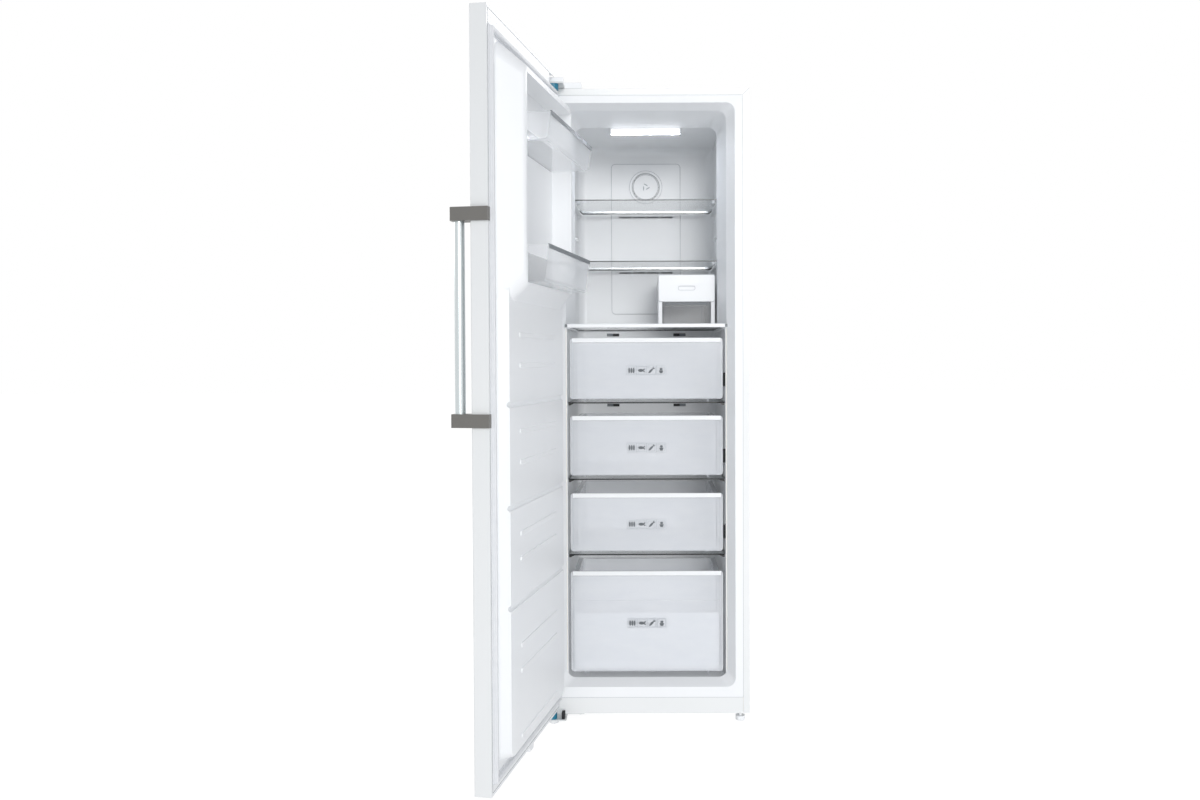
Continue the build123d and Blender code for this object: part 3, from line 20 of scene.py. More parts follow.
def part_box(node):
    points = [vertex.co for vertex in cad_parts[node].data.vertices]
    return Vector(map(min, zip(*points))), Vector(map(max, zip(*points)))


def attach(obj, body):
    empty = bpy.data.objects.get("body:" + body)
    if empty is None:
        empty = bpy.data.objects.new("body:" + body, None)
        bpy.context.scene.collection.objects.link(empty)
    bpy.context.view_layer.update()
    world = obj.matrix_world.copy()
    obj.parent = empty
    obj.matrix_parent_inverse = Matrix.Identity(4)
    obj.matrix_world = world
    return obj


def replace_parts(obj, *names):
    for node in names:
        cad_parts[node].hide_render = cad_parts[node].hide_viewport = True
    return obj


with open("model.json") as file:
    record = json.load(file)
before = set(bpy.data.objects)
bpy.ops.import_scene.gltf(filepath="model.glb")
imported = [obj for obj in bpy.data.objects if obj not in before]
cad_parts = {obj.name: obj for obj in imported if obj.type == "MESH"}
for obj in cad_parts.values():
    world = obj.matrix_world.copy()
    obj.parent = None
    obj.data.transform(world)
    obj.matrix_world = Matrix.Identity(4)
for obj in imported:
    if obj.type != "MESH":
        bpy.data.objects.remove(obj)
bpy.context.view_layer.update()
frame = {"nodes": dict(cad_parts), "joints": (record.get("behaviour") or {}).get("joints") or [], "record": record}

MM = 0.001  # metres in a millimetre
ALIGNED = 0.9  # from this cosine on, two directions count as one
SHARP = math.radians(35.0)  # edges sharper than this are rounded
DRAWERS = (1, 2, 3, 4)
log = logging.getLogger("freezer")

Range = tuple[float, float]
Pair = tuple[float, float]
Point = tuple[float, float, float]
Piece = bpy.types.Object
Socket = bpy.types.NodeSocket


class Along(Enum):
    """An axis that the edges of a piece run along, by its number."""

    X = 0
    Y = 1
    Z = 2


class Body(Enum):
    """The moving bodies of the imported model."""

    CABINET = "cabinet"
    DOOR = "door"
    DRAWER_1 = "drawer_1"
    DRAWER_2 = "drawer_2"
    DRAWER_3 = "drawer_3"
    DRAWER_4 = "drawer_4"
    ICE_TRAY = "ice_tray"
    ICE_BOX = "ice_box"


# ---------------- modelling


def choose(*pieces: Piece) -> None:
    """Selects these pieces and no others, and makes the first one active."""
    bpy.ops.object.select_all(action="DESELECT")
    for piece in pieces:
        piece.select_set(True)
    bpy.context.view_layer.objects.active = pieces[0]


def named(name: str) -> Piece:
    """Names the piece that was just added, and its mesh."""
    piece = bpy.context.active_object
    piece.name = name
    piece.data.name = name
    return piece


@contextmanager
def editing(piece: Piece) -> Iterator[Piece]:
    """Opens one piece in edit mode with nothing selected, and closes it again.

    Args:
        piece: the mesh object to shape.
    """
    choose(piece)
    bpy.ops.object.mode_set(mode="EDIT")
    bpy.ops.mesh.select_all(action="DESELECT")
    try:
        yield piece
    finally:
        bpy.ops.object.mode_set(mode="OBJECT")


def pick_faces(piece: Piece, test: Callable[[Vector, Vector], bool]) -> None:
    """Selects the faces of a piece in edit mode that pass a test, and no others.

    Args:
        piece: the piece in edit mode.
        test: told a face's middle and normal, says whether it is wanted.
    """
    bpy.ops.mesh.select_all(action="DESELECT")
    bpy.ops.mesh.select_mode(type="FACE")
    mesh = bmesh.from_edit_mesh(piece.data)
    for face in mesh.faces:
        face.select_set(test(face.calc_center_median(), face.normal))
    bmesh.update_edit_mesh(piece.data)


def bevel_along(piece: Piece, axis: Along, width: float, segments: int = 2,
                before: float = math.inf) -> Piece:
    """Bevels the edges of a piece that run along one axis.

    Args:
        piece: the piece.
        axis: the axis.
        width: the bevel's width, in mm.
        segments: how many flats stand for it.
        before: only edges with a y below this are bevelled, in mm.

    Returns:
        The same piece.
    """
    with editing(piece):
        bpy.ops.mesh.select_mode(type="EDGE")
        mesh = bmesh.from_edit_mesh(piece.data)
        for edge in mesh.edges:
            low, high = (vertex.co for vertex in edge.verts)
            way = (high - low).normalized()
            edge.select_set(abs(way[axis.value]) > ALIGNED and (low.y + high.y) / 2 < before * MM)
        bmesh.update_edit_mesh(piece.data)
        bpy.ops.mesh.bevel(offset=width * MM, segments=segments, affect="EDGES")
    return piece


def inset_front(piece: Piece, margin: float, depth: float) -> Piece:
    """Moves the middle of a piece's front face out, or in if the depth is negative.

    Args:
        piece: the piece.
        margin: the width of the rim left round it, in mm.
        depth: how far it moves, in mm.

    Returns:
        The same piece.
    """
    with editing(piece):
        pick_faces(piece, lambda middle, normal: normal.y < -ALIGNED)
        bpy.ops.mesh.inset(thickness=margin * MM, depth=depth * MM)
    return piece


def narrow_foot(piece: Piece, shares: Pair, towards: Pair) -> Piece:
    """Draws the underside of a piece in towards a point.

    Args:
        piece: the piece.
        shares: the underside's new width and depth, as shares of the old ones.
        towards: the point's x and y, in mm.

    Returns:
        The same piece.
    """
    with editing(piece):
        pick_faces(piece, lambda middle, normal: normal.z < -ALIGNED)
        bpy.ops.transform.resize(value=(*shares, 1), center_override=(towards[0] * MM, towards[1] * MM, 0))
    return piece


def settle(piece: Piece) -> Piece:
    """Bakes a piece's place, turn and size into its mesh, so that its object sits at the origin."""
    choose(piece)
    bpy.ops.object.transform_apply(location=True, rotation=True, scale=True)
    return piece


def inner(edges: Range, inset: float) -> Range:
    """The range that lies so far inside another one."""
    return edges[0] + inset, edges[1] - inset


def around(middle: float, half: float) -> Range:
    """The range that reaches so far to both sides of a middle."""
    return middle - half, middle + half


def block(name: str, x: Range, y: Range, z: Range) -> Piece:
    """Starts a piece from a cube that spans three ranges.

    Args:
        name: the piece's name.
        x: its x range, in mm.
        y: its y range, in mm.
        z: its z range, in mm.

    Returns:
        The new piece.
    """
    spans = (x, y, z)
    bpy.ops.object.select_all(action="DESELECT")
    bpy.ops.mesh.primitive_cube_add(size=1, location=[(low + high) / 2 * MM for low, high in spans])
    piece = named(name)
    piece.scale = [(high - low) * MM for low, high in spans]
    return settle(piece)


def drum(name: str, at: Point, radius: float, length: float, sides: int) -> Piece:
    """Starts a piece from a cylinder that lies along y.

    Args:
        name: the piece's name.
        at: its middle, in mm.
        radius: its radius, in mm.
        length: its length, in mm.
        sides: how many flats stand for its round.

    Returns:
        The new piece.
    """
    bpy.ops.object.select_all(action="DESELECT")
    bpy.ops.mesh.primitive_cylinder_add(vertices=sides, radius=radius * MM, depth=length * MM,
                                        rotation=(math.pi / 2, 0, 0), location=[value * MM for value in at])
    return settle(named(name))


def round_edges(piece: Piece, width: float, segments: int = 2) -> Piece:
    """Rounds a piece's sharp edges with a bevel modifier, applies it and shades the piece smooth.

    Args:
        piece: the piece to round.
        width: the round's size, in mm.
        segments: how many flats stand for the round.

    Returns:
        The same piece.
    """
    choose(piece)
    bpy.ops.object.modifier_add(type="BEVEL")
    bevel = piece.modifiers[-1]
    bevel.width = width * MM
    bevel.segments = segments
    bevel.limit_method = "ANGLE"
    bevel.angle_limit = SHARP
    bpy.ops.object.modifier_apply(modifier=bevel.name)
    bpy.ops.object.shade_smooth_by_angle(angle=SHARP)
    return piece


def joined(name: str, pieces: list[Piece]) -> Piece:
    """Joins several pieces into one mesh with the given name."""
    choose(*pieces)
    bpy.ops.object.join()
    return named(name)


def copies(piece: Piece, shifts: list[Point]) -> Piece:
    """Repeats a piece, already in place, at further places, and joins all under its name.

    Args:
        piece: the piece.
        shifts: how far each copy lies from it, in mm.

    Returns:
        The joined piece.
    """
    name = piece.name
    row = [piece]
    for shift in shifts:
        twin = piece.copy()
        twin.data = piece.data.copy()
        bpy.context.scene.collection.objects.link(twin)
        twin.location = [value * MM for value in shift]
        row.append(settle(twin))
    return joined(name, row)


def opened(piece: Piece, line: float) -> Piece:
    """Opens the middle of a flat upright piece, so that a border of the given width in mm is left."""
    with editing(piece):
        pick_faces(piece, lambda middle, normal: abs(normal.y) > ALIGNED)
        bpy.ops.mesh.inset(thickness=line * MM, use_individual=True)
        bpy.ops.mesh.bridge_edge_loops()
    return piece


def ring(name: str, x: Range, y: Range, z: Range, line: float, radius: float = 0.0) -> Piece:
    """Starts a flat upright frame: a block with its corners rounded and its middle opened.

    Args:
        name: the piece's name.
        x: its x range, in mm.
        y: its y range, in mm.
        z: its z range, in mm.
        line: the width of its border, in mm.
        radius: the round of its corners, in mm.

    Returns:
        The new piece.
    """
    piece = block(name, x, y, z)
    if radius:
        bevel_along(piece, Along.Y, radius, segments=6)
    return opened(piece, line)


def outline(name: str, node: str, inset: float, proud: float, line: float, radius: float) -> Piece:
    """Starts a frame on a node's front, so far inside its edges and so far out from it, in mm."""
    x, y, z = corners(node)
    return ring(name, inner(x, inset), (y[0] - proud, y[0]), inner(z, inset), line, radius)


def oval(name: str, at: Point, size: Pair, thickness: float, turn: float = 0.0) -> Piece:
    """Starts a flat upright oval.

    Args:
        name: the piece's name.
        at: its middle, in mm.
        size: its half width and half height, in mm.
        thickness: how thick it is, in mm.
        turn: how far it is turned, in degrees.

    Returns:
        The new piece.
    """
    piece = drum(name, (0, 0, 0), 1.0, thickness, sides=20)
    with editing(piece):
        bpy.ops.mesh.select_all(action="SELECT")
        bpy.ops.transform.resize(value=(size[0], 1, size[1]), center_override=(0, 0, 0))
    piece.rotation_euler = (0, math.radians(turn), 0)
    piece.location = [value * MM for value in at]
    return settle(piece)


def swing_open(piece: Piece) -> Piece:
    """Turns a piece that was modelled on the shut door to where the open door rests."""
    hinge = next(joint for joint in frame["joints"] if joint["child"] == Body.DOOR.value)
    pin = Vector(hinge["pos_m"])
    turn = Matrix.Rotation(math.radians(hinge["range_deg"][0]), 4, "Z")
    piece.matrix_world = Matrix.Translation(pin) @ turn @ Matrix.Translation(-pin)
    return settle(piece)


def corners(node: str) -> tuple[Range, Range, Range]:
    """The x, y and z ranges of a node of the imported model, in mm."""
    low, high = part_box(node)
    return tuple((low[i] / MM, high[i] / MM) for i in range(3))


# ---------------- finishes


def linear(hex_colour: str) -> tuple[float, float, float, float]:
    """Turns an sRGB hex colour into the linear one that a shader takes."""
    channels = [int(hex_colour[i:i + 2], 16) / 255 for i in (0, 2, 4)]
    values = [c / 12.92 if c <= 0.04045 else ((c + 0.055) / 1.055) ** 2.4 for c in channels]
    return (*values, 1.0)


def per_metre(size: float) -> float:
    """The texture scale at which a pattern's features are the given size in mm."""
    return 1 / (size * MM)


@dataclass
class Tree:
    """A node tree, built one node at a time."""

    tree: bpy.types.NodeTree

    def add(self, kind: str, settings: dict | None = None, links: dict | None = None) -> bpy.types.Node:
        """Adds one node.

        Args:
            kind: the node's type, without the words ShaderNode.
            settings: values for its properties or, by name or number, its inputs.
            links: output sockets, by the name or number of the input they go to.

        Returns:
            The new node.
        """
        node = self.tree.nodes.new("ShaderNode" + kind)
        for key, value in (settings or {}).items():
            if isinstance(key, str) and hasattr(node, key):
                setattr(node, key, value)
            else:
                node.inputs[key].default_value = value
        for key, socket in (links or {}).items():
            self.tree.links.new(socket, node.inputs[key])
        return node

    def compute(self, operation: str, settings: dict | None = None, links: dict | None = None) -> Socket:
        """The result of a new math node, told its values and links by the input's number."""
        return self.add("Math", {"operation": operation, **(settings or {})}, links).outputs[0]

    def rays(self, *kinds: str) -> Socket:
        """One for a light ray of any of these kinds, nought for the others."""
        path = self.add("LightPath").outputs
        total = path[kinds[0]]
        for kind in kinds[1:]:
            total = self.compute("MAXIMUM", None, {0: total, 1: path[kind]})
        return total


class Sheet(Tree):
    """The node tree of one material, round its Principled shader."""

    def __init__(self, finish: "Finish") -> None:
        """Starts an empty material.

        Args:
            finish: the finish that it shows.
        """
        self.finish = finish
        self.material = bpy.data.materials.new(finish.name)
        self.material.use_nodes = True
        super().__init__(self.material.node_tree)
        self.shader = self.tree.nodes["Principled BSDF"]
        self.place = self.add("TexCoord").outputs["Object"]

    def set(self, **values: object) -> None:
        """Sets constants on the shader's own sockets, with spaces written as underscores."""
        for key, value in values.items():
            self.shader.inputs[key.replace("_", " ")].default_value = value

    def link(self, socket: Socket, name: str) -> None:
        """Links an output to the shader's socket of that name."""
        self.tree.links.new(socket, self.shader.inputs[name])

    def cloud(self, size: float, detail: float = 2.0, stretch: Point = (1, 1, 1)) -> Socket:
        """A soft random pattern.

        Args:
            size: the size of its features, in mm.
            detail: how many finer layers it has.
            stretch: how much finer it is along each axis.

        Returns:
            The pattern's value.
        """
        mapping = self.add("Mapping", {"Scale": stretch}, {"Vector": self.place})
        noise = self.add("TexNoise", {"Scale": per_metre(size), "Detail": detail},
                         {"Vector": mapping.outputs["Vector"]})
        return noise.outputs["Fac"]

    def blend(self, pattern: Socket, first: str, second: str) -> Socket:
        """A colour between two hex colours by a pattern."""
        ends = {6: linear(first), 7: linear(second)}
        return self.add("Mix", {"data_type": "RGBA", **ends}, {0: pattern}).outputs[2]

    def mottle(self, pattern: Socket) -> None:
        """Colours the surface between the finish's colour and its shade by a pattern."""
        self.link(self.blend(pattern, self.finish.colour, self.finish.shade), "Base Color")

    def spread(self, pattern: Socket, low: float, high: float) -> Socket:
        """A value between two ends by a pattern."""
        ends = {"To Min": low, "To Max": high}
        return self.add("MapRange", ends, {"Value": pattern}).outputs["Result"]

    def gloss(self, pattern: Socket, less: float, more: float) -> None:
        """Lets the roughness wander by a pattern, from so much below the finish's own to so much above."""
        middle = self.finish.roughness
        self.link(self.spread(pattern, middle - less, middle + more), "Roughness")

    def cover(self, blend: float, face: float, edge: float) -> Socket:
        """A value that goes from one face-on to another at a grazing angle, the sooner for a high blend."""
        return self.spread(self.add("LayerWeight", {"Blend": blend}).outputs["Facing"], face, edge)

    def relief(self, pattern: Socket, height: float, strength: float) -> None:
        """Presses a pattern into the surface, at a height in mm of which so much shows."""
        press = {"Distance": height * MM, "Strength": strength}
        self.link(self.add("Bump", press, {"Height": pattern}).outputs["Normal"], "Normal")


@dataclass(frozen=True)
class Finish:
    """A surface finish. Each kind below says how its surface was made."""

    name: str
    colour: str
    shade: str  # the same colour where the pattern is darker
    roughness: float

    def dress(self, sheet: Sheet) -> None:
        """Builds the finish's nodes on an empty sheet."""
        raise NotImplementedError

    def material(self) -> bpy.types.Material:
        """The finish as a material, made once."""
        if self.name not in bpy.data.materials:
            self.dress(Sheet(self))
        return bpy.data.materials[self.name]


@dataclass(frozen=True)
class StovedEnamel(Finish):
    """Steel sheet with powder enamel baked on: glossy, with a faint orange peel."""

    peel: float = 2.2  # width of one dimple of the orange peel, mm

    def dress(self, sheet: Sheet) -> None:
        """White that barely changes, a soft coat, and dimples a few microns deep."""
        sheet.set(IOR=1.5, Coat_Weight=0.25, Coat_Roughness=0.12)
        sheet.mottle(sheet.cloud(size=260.0))
        sheet.gloss(sheet.cloud(size=35.0), less=0.03, more=0.04)
        sheet.relief(sheet.cloud(self.peel, detail=1.0), height=0.006, strength=0.35)


@dataclass(frozen=True)
class FormedPlastic(Finish):
    """Polystyrene drawn over a former or moulded: an even colour with soft gloss and a fine skin."""

    grain: float = 1.2  # width of one dimple of the skin, mm
    depth: float = 0.012  # depth of the dimples, mm

    def dress(self, sheet: Sheet) -> None:
        """A skin of small dimples, and slow changes where the sheet was stretched thinner."""
        sheet.set(IOR=1.55)
        sheet.mottle(sheet.cloud(size=180.0, detail=3.0))
        sheet.gloss(sheet.cloud(size=22.0), less=0.04, more=0.05)
        sheet.relief(sheet.cloud(self.grain, detail=1.0), self.depth, strength=0.4)


@dataclass(frozen=True)
class ClearPlastic(Finish):
    """Clear moulded polystyrene: it shows what lies behind, and whitens where it is seen edge-on."""

    face: float = 0.30  # how much of it shows face-on
    edge: float = 0.66  # and at a grazing angle
    passed: float = 0.8  # share of its shade that it doesn't cast

    def dress(self, sheet: Sheet) -> None:
        """Cover that rises towards grazing angles, with the faint flow lines of the moulding."""
        sheet.set(IOR=1.58, Specular_IOR_Level=0.7)
        flow = sheet.cloud(size=60.0, detail=3.0, stretch=(1.0, 1.0, 3.0))
        sheet.mottle(flow)
        sheet.gloss(flow, less=0.0, more=0.06)
        sheet.relief(sheet.cloud(size=24.0), height=0.03, strength=0.25)
        cover = sheet.cover(0.45, self.face, self.edge)
        # clear plastic lets the light through to what lies behind it
        held = sheet.compute("MULTIPLY_ADD", {1: -self.passed, 2: 1.0},
                             {0: sheet.rays("Is Shadow Ray", "Is Diffuse Ray")})
        sheet.link(sheet.compute("MULTIPLY", None, {0: cover, 1: held}), "Alpha")


@dataclass(frozen=True)
class ToughenedGlass(Finish):
    """Float glass with ground edges: nearly unseen face-on, dark where one looks into an edge."""

    edge_colour: str = "0B1212"
    face: float = 0.06  # how much of it shows face-on
    edge: float = 0.26  # and at a grazing angle

    def dress(self, sheet: Sheet) -> None:
        """The level faces are clear; the upright edges are dark and closed."""
        sheet.set(IOR=1.52, Specular_IOR_Level=0.5, Roughness=self.roughness)
        normal = sheet.add("NewGeometry").outputs["Normal"]
        upward = sheet.add("SeparateXYZ", None, {0: normal}).outputs["Z"]
        rim = sheet.compute("LESS_THAN", {1: 0.5}, {0: sheet.compute("ABSOLUTE", None, {0: upward})})
        body = sheet.blend(sheet.cloud(size=120.0), self.colour, self.shade)
        dark = {"data_type": "RGBA", 7: linear(self.edge_colour)}
        colour = sheet.add("Mix", dark, {0: rim, 6: body})
        sheet.link(colour.outputs[2], "Base Color")
        clear = sheet.cover(0.35, self.face, self.edge)
        sheet.link(sheet.compute("MAXIMUM", None, {0: clear, 1: rim}), "Alpha")


@dataclass(frozen=True)
class BrushedMetal(Finish):
    """Bare or anodised metal with fine lines from brushing or drawing along one axis."""

    line: float = 0.35  # width of one brushed line, coarser than the real one so that it shows, mm
    grain_axis: int = 2
    along: float = 0.01  # how much coarser the lines are along that axis

    def dress(self, sheet: Sheet) -> None:
        """Long thin lines in the gloss and the surface."""
        sheet.set(Metallic=1.0)
        stretch = tuple(self.along if axis == self.grain_axis else 1.0 for axis in range(3))
        lines = sheet.cloud(self.line, stretch=stretch)
        sheet.mottle(lines)
        sheet.gloss(lines, less=0.05, more=0.1)
        sheet.relief(lines, height=0.004, strength=0.3)


@dataclass(frozen=True)
class ZincedSteel(Finish):
    """Steel sheet dipped in zinc: flat crystals that each catch the light a little differently."""

    crystal: float = 9.0  # width of one crystal, mm

    def dress(self, sheet: Sheet) -> None:
        """Crystals in the colour and the gloss."""
        sheet.set(Metallic=0.9)
        cells = sheet.add("TexVoronoi", {"Scale": per_metre(self.crystal)}, {"Vector": sheet.place})
        grey = sheet.add("SeparateColor", None, {0: cells.outputs["Color"]}).outputs[0]
        sheet.mottle(grey)
        sheet.gloss(grey, less=0.08, more=0.1)
        sheet.relief(sheet.cloud(size=1.5), height=0.01, strength=0.3)


@dataclass(frozen=True)
class MouldedRubber(Finish):
    """Rubber or soft vinyl: matt, with a dusty bloom and a fine pitted skin."""

    pit: float = 0.8  # width of one pit, mm

    def dress(self, sheet: Sheet) -> None:
        """Bloom in patches and small pits."""
        sheet.set(IOR=1.52, Specular_IOR_Level=0.35)
        sheet.mottle(sheet.cloud(size=14.0, detail=3.0))
        sheet.gloss(sheet.cloud(size=9.0), less=0.05, more=0.08)
        sheet.relief(sheet.cloud(self.pit, detail=1.0), height=0.02, strength=0.5)


@dataclass(frozen=True)
class BlownFoam(Finish):
    """Rigid polyurethane foam: pale yellow cells, inside the walls."""

    cell: float = 1.6  # width of one cell, mm

    def dress(self, sheet: Sheet) -> None:
        """Small open cells."""
        cells = sheet.add("TexVoronoi", {"Scale": per_metre(self.cell)}, {"Vector": sheet.place})
        sheet.set(Roughness=self.roughness)
        sheet.mottle(cells.outputs["Distance"])
        sheet.relief(cells.outputs["Distance"], height=0.3, strength=0.6)


@dataclass(frozen=True)
class LampDiffuser(Finish):
    """Opal acrylic in front of a row of light-emitting diodes: bright, a little brighter before each one."""

    pitch: float = 18.0  # distance between the diodes, mm
    strength: float = 1.0
    waves: float = 20.0  # how many times coarser the wave texture's waves are than its scale

    def dress(self, sheet: Sheet) -> None:
        """A glow in soft waves along the lamp."""
        ripple = {"Scale": per_metre(self.pitch) / self.waves, "Distortion": 0.0}
        wave = sheet.add("TexWave", ripple, {"Vector": sheet.place})
        sheet.set(Roughness=self.roughness, Emission_Strength=self.strength)
        sheet.link(sheet.blend(wave.outputs["Fac"], self.shade, self.colour), "Emission Color")
        sheet.mottle(sheet.cloud(size=30.0))


class Finishes:
    """The finishes, in capitals after the record's material slots, and those of a few nodes and fittings."""

    WHITE_ENAMEL = StovedEnamel("stoved_enamel_white", "F0F1F1", "EBEDED", 0.30)
    WHITE_PLASTIC = FormedPlastic("polystyrene_liner_white", "F7F8F9", "F2F4F6", 0.38)
    CLEAR_PLASTIC = ClearPlastic("polystyrene_clear", "F4F6FA", "EBEFF5", 0.08, face=0.42, edge=0.75)
    CLEAR_POCKET = ClearPlastic("polystyrene_clear_thin", "F8FAFC", "F1F4F8", 0.08, face=0.10, edge=0.50)
    CLEAR_GLASS = ToughenedGlass("toughened_glass", "D6DEDF", "C7D2D4", 0.04)
    GREY_TRIM = FormedPlastic("trim_pale_grey", "F4F5F6", "EBEDEF", 0.35, grain=0.6, depth=0.004)
    POCKET_TRIM = FormedPlastic("pocket_trim_grey", "7D8286", "6C7176", 0.35, grain=0.6, depth=0.004)
    GALVANISED_STEEL = ZincedSteel("zinced_steel", "C6C9CB", "BABEC0", 0.42)
    BRIGHT_METAL = BrushedMetal("polished_rail", "B9BDC0", "A4A9AC", 0.16, line=0.8, grain_axis=0)
    LIT_DIFFUSER = LampDiffuser("lamp_diffuser_opal", "FFFFFF", "F4F7FA", 0.45)
    INSULATION = BlownFoam("polyurethane_foam", "EAD9A2", "C9B377", 0.95)
    PALE_GASKET = MouldedRubber("gasket_vinyl_grey", "E9EAEC", "DFE1E4", 0.55)
    BLACK_RUBBER = MouldedRubber("rubber_black", "17181A", "222427", 0.72)
    BLACK_PLASTIC = FormedPlastic("moulded_black", "191A1B", "222426", 0.5, grain=0.9, depth=0.03)
    BLACK_PAINT = StovedEnamel("stoved_black", "101112", "1A1B1C", 0.38)
    FIN_ALUMINIUM = BrushedMetal("fin_aluminium", "CDD0D2", "B1B5B8", 0.35, line=1.2, grain_axis=2)
    BRACKET_STEEL = StovedEnamel("painted_bracket", "E2E4E4", "D8DADA", 0.42)
    TEAL_PLASTIC = FormedPlastic("acetal_teal", "0E7F9E", "0B6C88", 0.36, grain=0.7, depth=0.006)
    BRACKET_GREY = FormedPlastic("satin_bracket_grey", "75736F", "6A6864", 0.42, grain=0.5, depth=0.006)
    BAR_ALUMINIUM = BrushedMetal("anodised_bar", "D8DEDF", "C2CACC", 0.26, line=0.35, grain_axis=2)
    PRINT = FormedPlastic("printed_grey", "565B5F", "64696D", 0.6, grain=0.5, depth=0.001)
    # dark seams and trim caps, and also painted shade: the plates in the lowest drawer's vents and the band above
    # the ice bin
    SEAM = FormedPlastic("dark_seam_and_painted_shade", "8B8F92", "7E8285", 0.8, grain=0.5, depth=0.001)
    # fine moulded lines, sign frames and seams, and also painted shade: the gap round the duct panel and the
    # contact shadow rings at the air outlet
    FINE_LINE = FormedPlastic("moulded_line_and_painted_shade_grey", "B4B9BD", "A9AEB3", 0.6, grain=0.5, depth=0.001)
    # dark ground glass edges, and also painted shadow: the wedges at the separators' ends
    EDGE_BLACK = FormedPlastic("glass_edge_and_painted_shadow_black", "0D0F10", "16191B", 0.3, grain=0.5, depth=0.001)
    CLIP = FormedPlastic("clip_clear_grey", "C9CDD1", "BEC3C8", 0.3, grain=0.6, depth=0.004)

    BY_NODE = {
        "pocket_trims": POCKET_TRIM,
        "upper_pocket": CLEAR_POCKET,
        "lower_pocket": CLEAR_POCKET,
        "ice_bin": CLEAR_POCKET,
    }

    @classmethod
    def dress_nodes(cls) -> None:
        """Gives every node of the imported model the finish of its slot, or its own."""
        for part in frame["record"]["subparts"]:
            finish = cls.BY_NODE.get(part["node"]) or getattr(cls, part["material_slot"].upper())
            mesh = frame["nodes"][part["node"]].data
            mesh.materials.clear()
            mesh.materials.append(finish.material())
            log.info("node %s: %s", part["node"], finish.name)


def finish_piece(piece: Piece, finish: Finish, body: Body = Body.CABINET) -> Piece:
    """Dresses a modelled piece, and sets the body it rides on.

    Args:
        piece: the finished mesh, in place.
        finish: its finish.
        body: the body it moves with.

    Returns:
        The same piece.
    """
    piece.data.materials.clear()
    piece.data.materials.append(finish.material())
    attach(piece, body.value)
    log.info("piece %s: %s, %d faces", piece.name, finish.name, len(piece.data.polygons))
    return piece


# ---------------- cabinet


@dataclass
class CabinetFront:
    """The cabinet's front edge: the mitres of the folded sheet, and the seam where the liner starts."""

    return_width: float = 18.5
    seam_width: float = 0.7
    seam_height: float = 0.3
    lap: float = 0.4  # the inner seam lies this far over the return's edge

    def build(self) -> None:
        """Lays a fine dark seam across each top corner, and one round the inside of the return."""
        x, y, z = corners("outer_shell")
        length = self.return_width * math.sqrt(2) - 2 * self.seam_width
        half = self.return_width / 2
        for side, name in ((-1, "left"), (1, "right")):
            seam = block(f"mitre_seam_{name}", around(0, length / 2), (0, self.seam_height),
                         around(0, self.seam_width / 2))
            bevel_along(seam, Along.Y, self.seam_width / 3)
            seam.rotation_euler = (0, -side * math.pi / 4, 0)
            seam.location = Vector((side * (x[1] - half), y[0] - self.seam_height / 2, z[1] - half)) * MM
            finish_piece(settle(seam), Finishes.SEAM)
        inset = self.return_width - self.lap
        edge = ring("front_inner_seam", inner(x, inset), (y[0] - self.seam_height, y[0]),
                    (corners("plinth")[2][1] - self.lap, z[1] - inset), self.seam_width)
        finish_piece(edge, Finishes.FINE_LINE)


@dataclass
class RearSheet:
    """The rear sheet: zinced steel with pressed swages, held by a row of screws."""

    thickness: float = 0.8
    setback: float = 0.6  # flat part to the shell's rear edge
    rise: float = 0.6  # of the swages and the screws
    swage_count: int = 4
    swage_half: float = 13.0
    swage_slope: float = 5.0  # width of a swage's sloping side
    swage_margin: float = 90.0
    screw_radius: float = 4.2
    screw_rim: float = 1.89  # flat ring round its recess
    screw_pitch: float = 240.0
    screw_inset: float = 14.0

    def build(self) -> None:
        """Presses the sheet and sets its screws."""
        x, y, z = corners("back_panel")
        outer = y[1] - self.setback
        sheet = block("rear_sheet", x, (outer - self.thickness, outer), z)
        step = (x[1] - x[0]) / (self.swage_count + 1)
        swages = [x[0] + step * (i + 1) for i in range(self.swage_count)]
        low, high = inner(z, self.swage_margin)
        # cuts at both sides of each swage, and across all their ends
        cuts = [((edge, 0, 0), (1, 0, 0)) for swage in swages for edge in around(swage, self.swage_half)]
        cuts += [((0, 0, edge), (0, 0, 1)) for edge in (low, high)]
        with editing(sheet):
            for place, normal in cuts:
                bpy.ops.mesh.select_all(action="SELECT")
                bpy.ops.mesh.bisect(plane_co=[value * MM for value in place], plane_no=normal)
            pick_faces(sheet, lambda middle, normal: normal.y > ALIGNED and low < middle.z / MM < high
                       and any(abs(middle.x / MM - swage) < self.swage_half for swage in swages))
            bpy.ops.mesh.inset(thickness=self.swage_slope * MM, depth=self.rise * MM, use_individual=True)
        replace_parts(finish_piece(sheet, Finishes.GALVANISED_STEEL), "back_panel")
        self.build_screws()

    def build_screws(self) -> None:
        """Models one screw and repeats it down both sides."""
        x, y, z = corners("back_panel")
        first = (x[0] + self.screw_inset, y[1] - self.setback + self.rise / 2, z[0] + self.screw_inset)
        screw = drum("rear_sheet_screws", first, self.screw_radius, self.rise, sides=24)
        with editing(screw):
            pick_faces(screw, lambda middle, normal: normal.y > ALIGNED)
            bpy.ops.mesh.inset(thickness=self.screw_rim * MM)
            bpy.ops.mesh.inset(thickness=self.screw_radius / 10 * MM, depth=-self.rise * 0.6 * MM)
        round_edges(screw, width=0.2)
        across, height = (edge[1] - edge[0] - 2 * self.screw_inset for edge in (x, z))
        rows = int(height // self.screw_pitch)
        shifts = [(dx, 0.0, i * height / rows) for i in range(rows + 1) for dx in (0.0, across)][1:]
        finish_piece(copies(screw, shifts), Finishes.GALVANISED_STEEL)


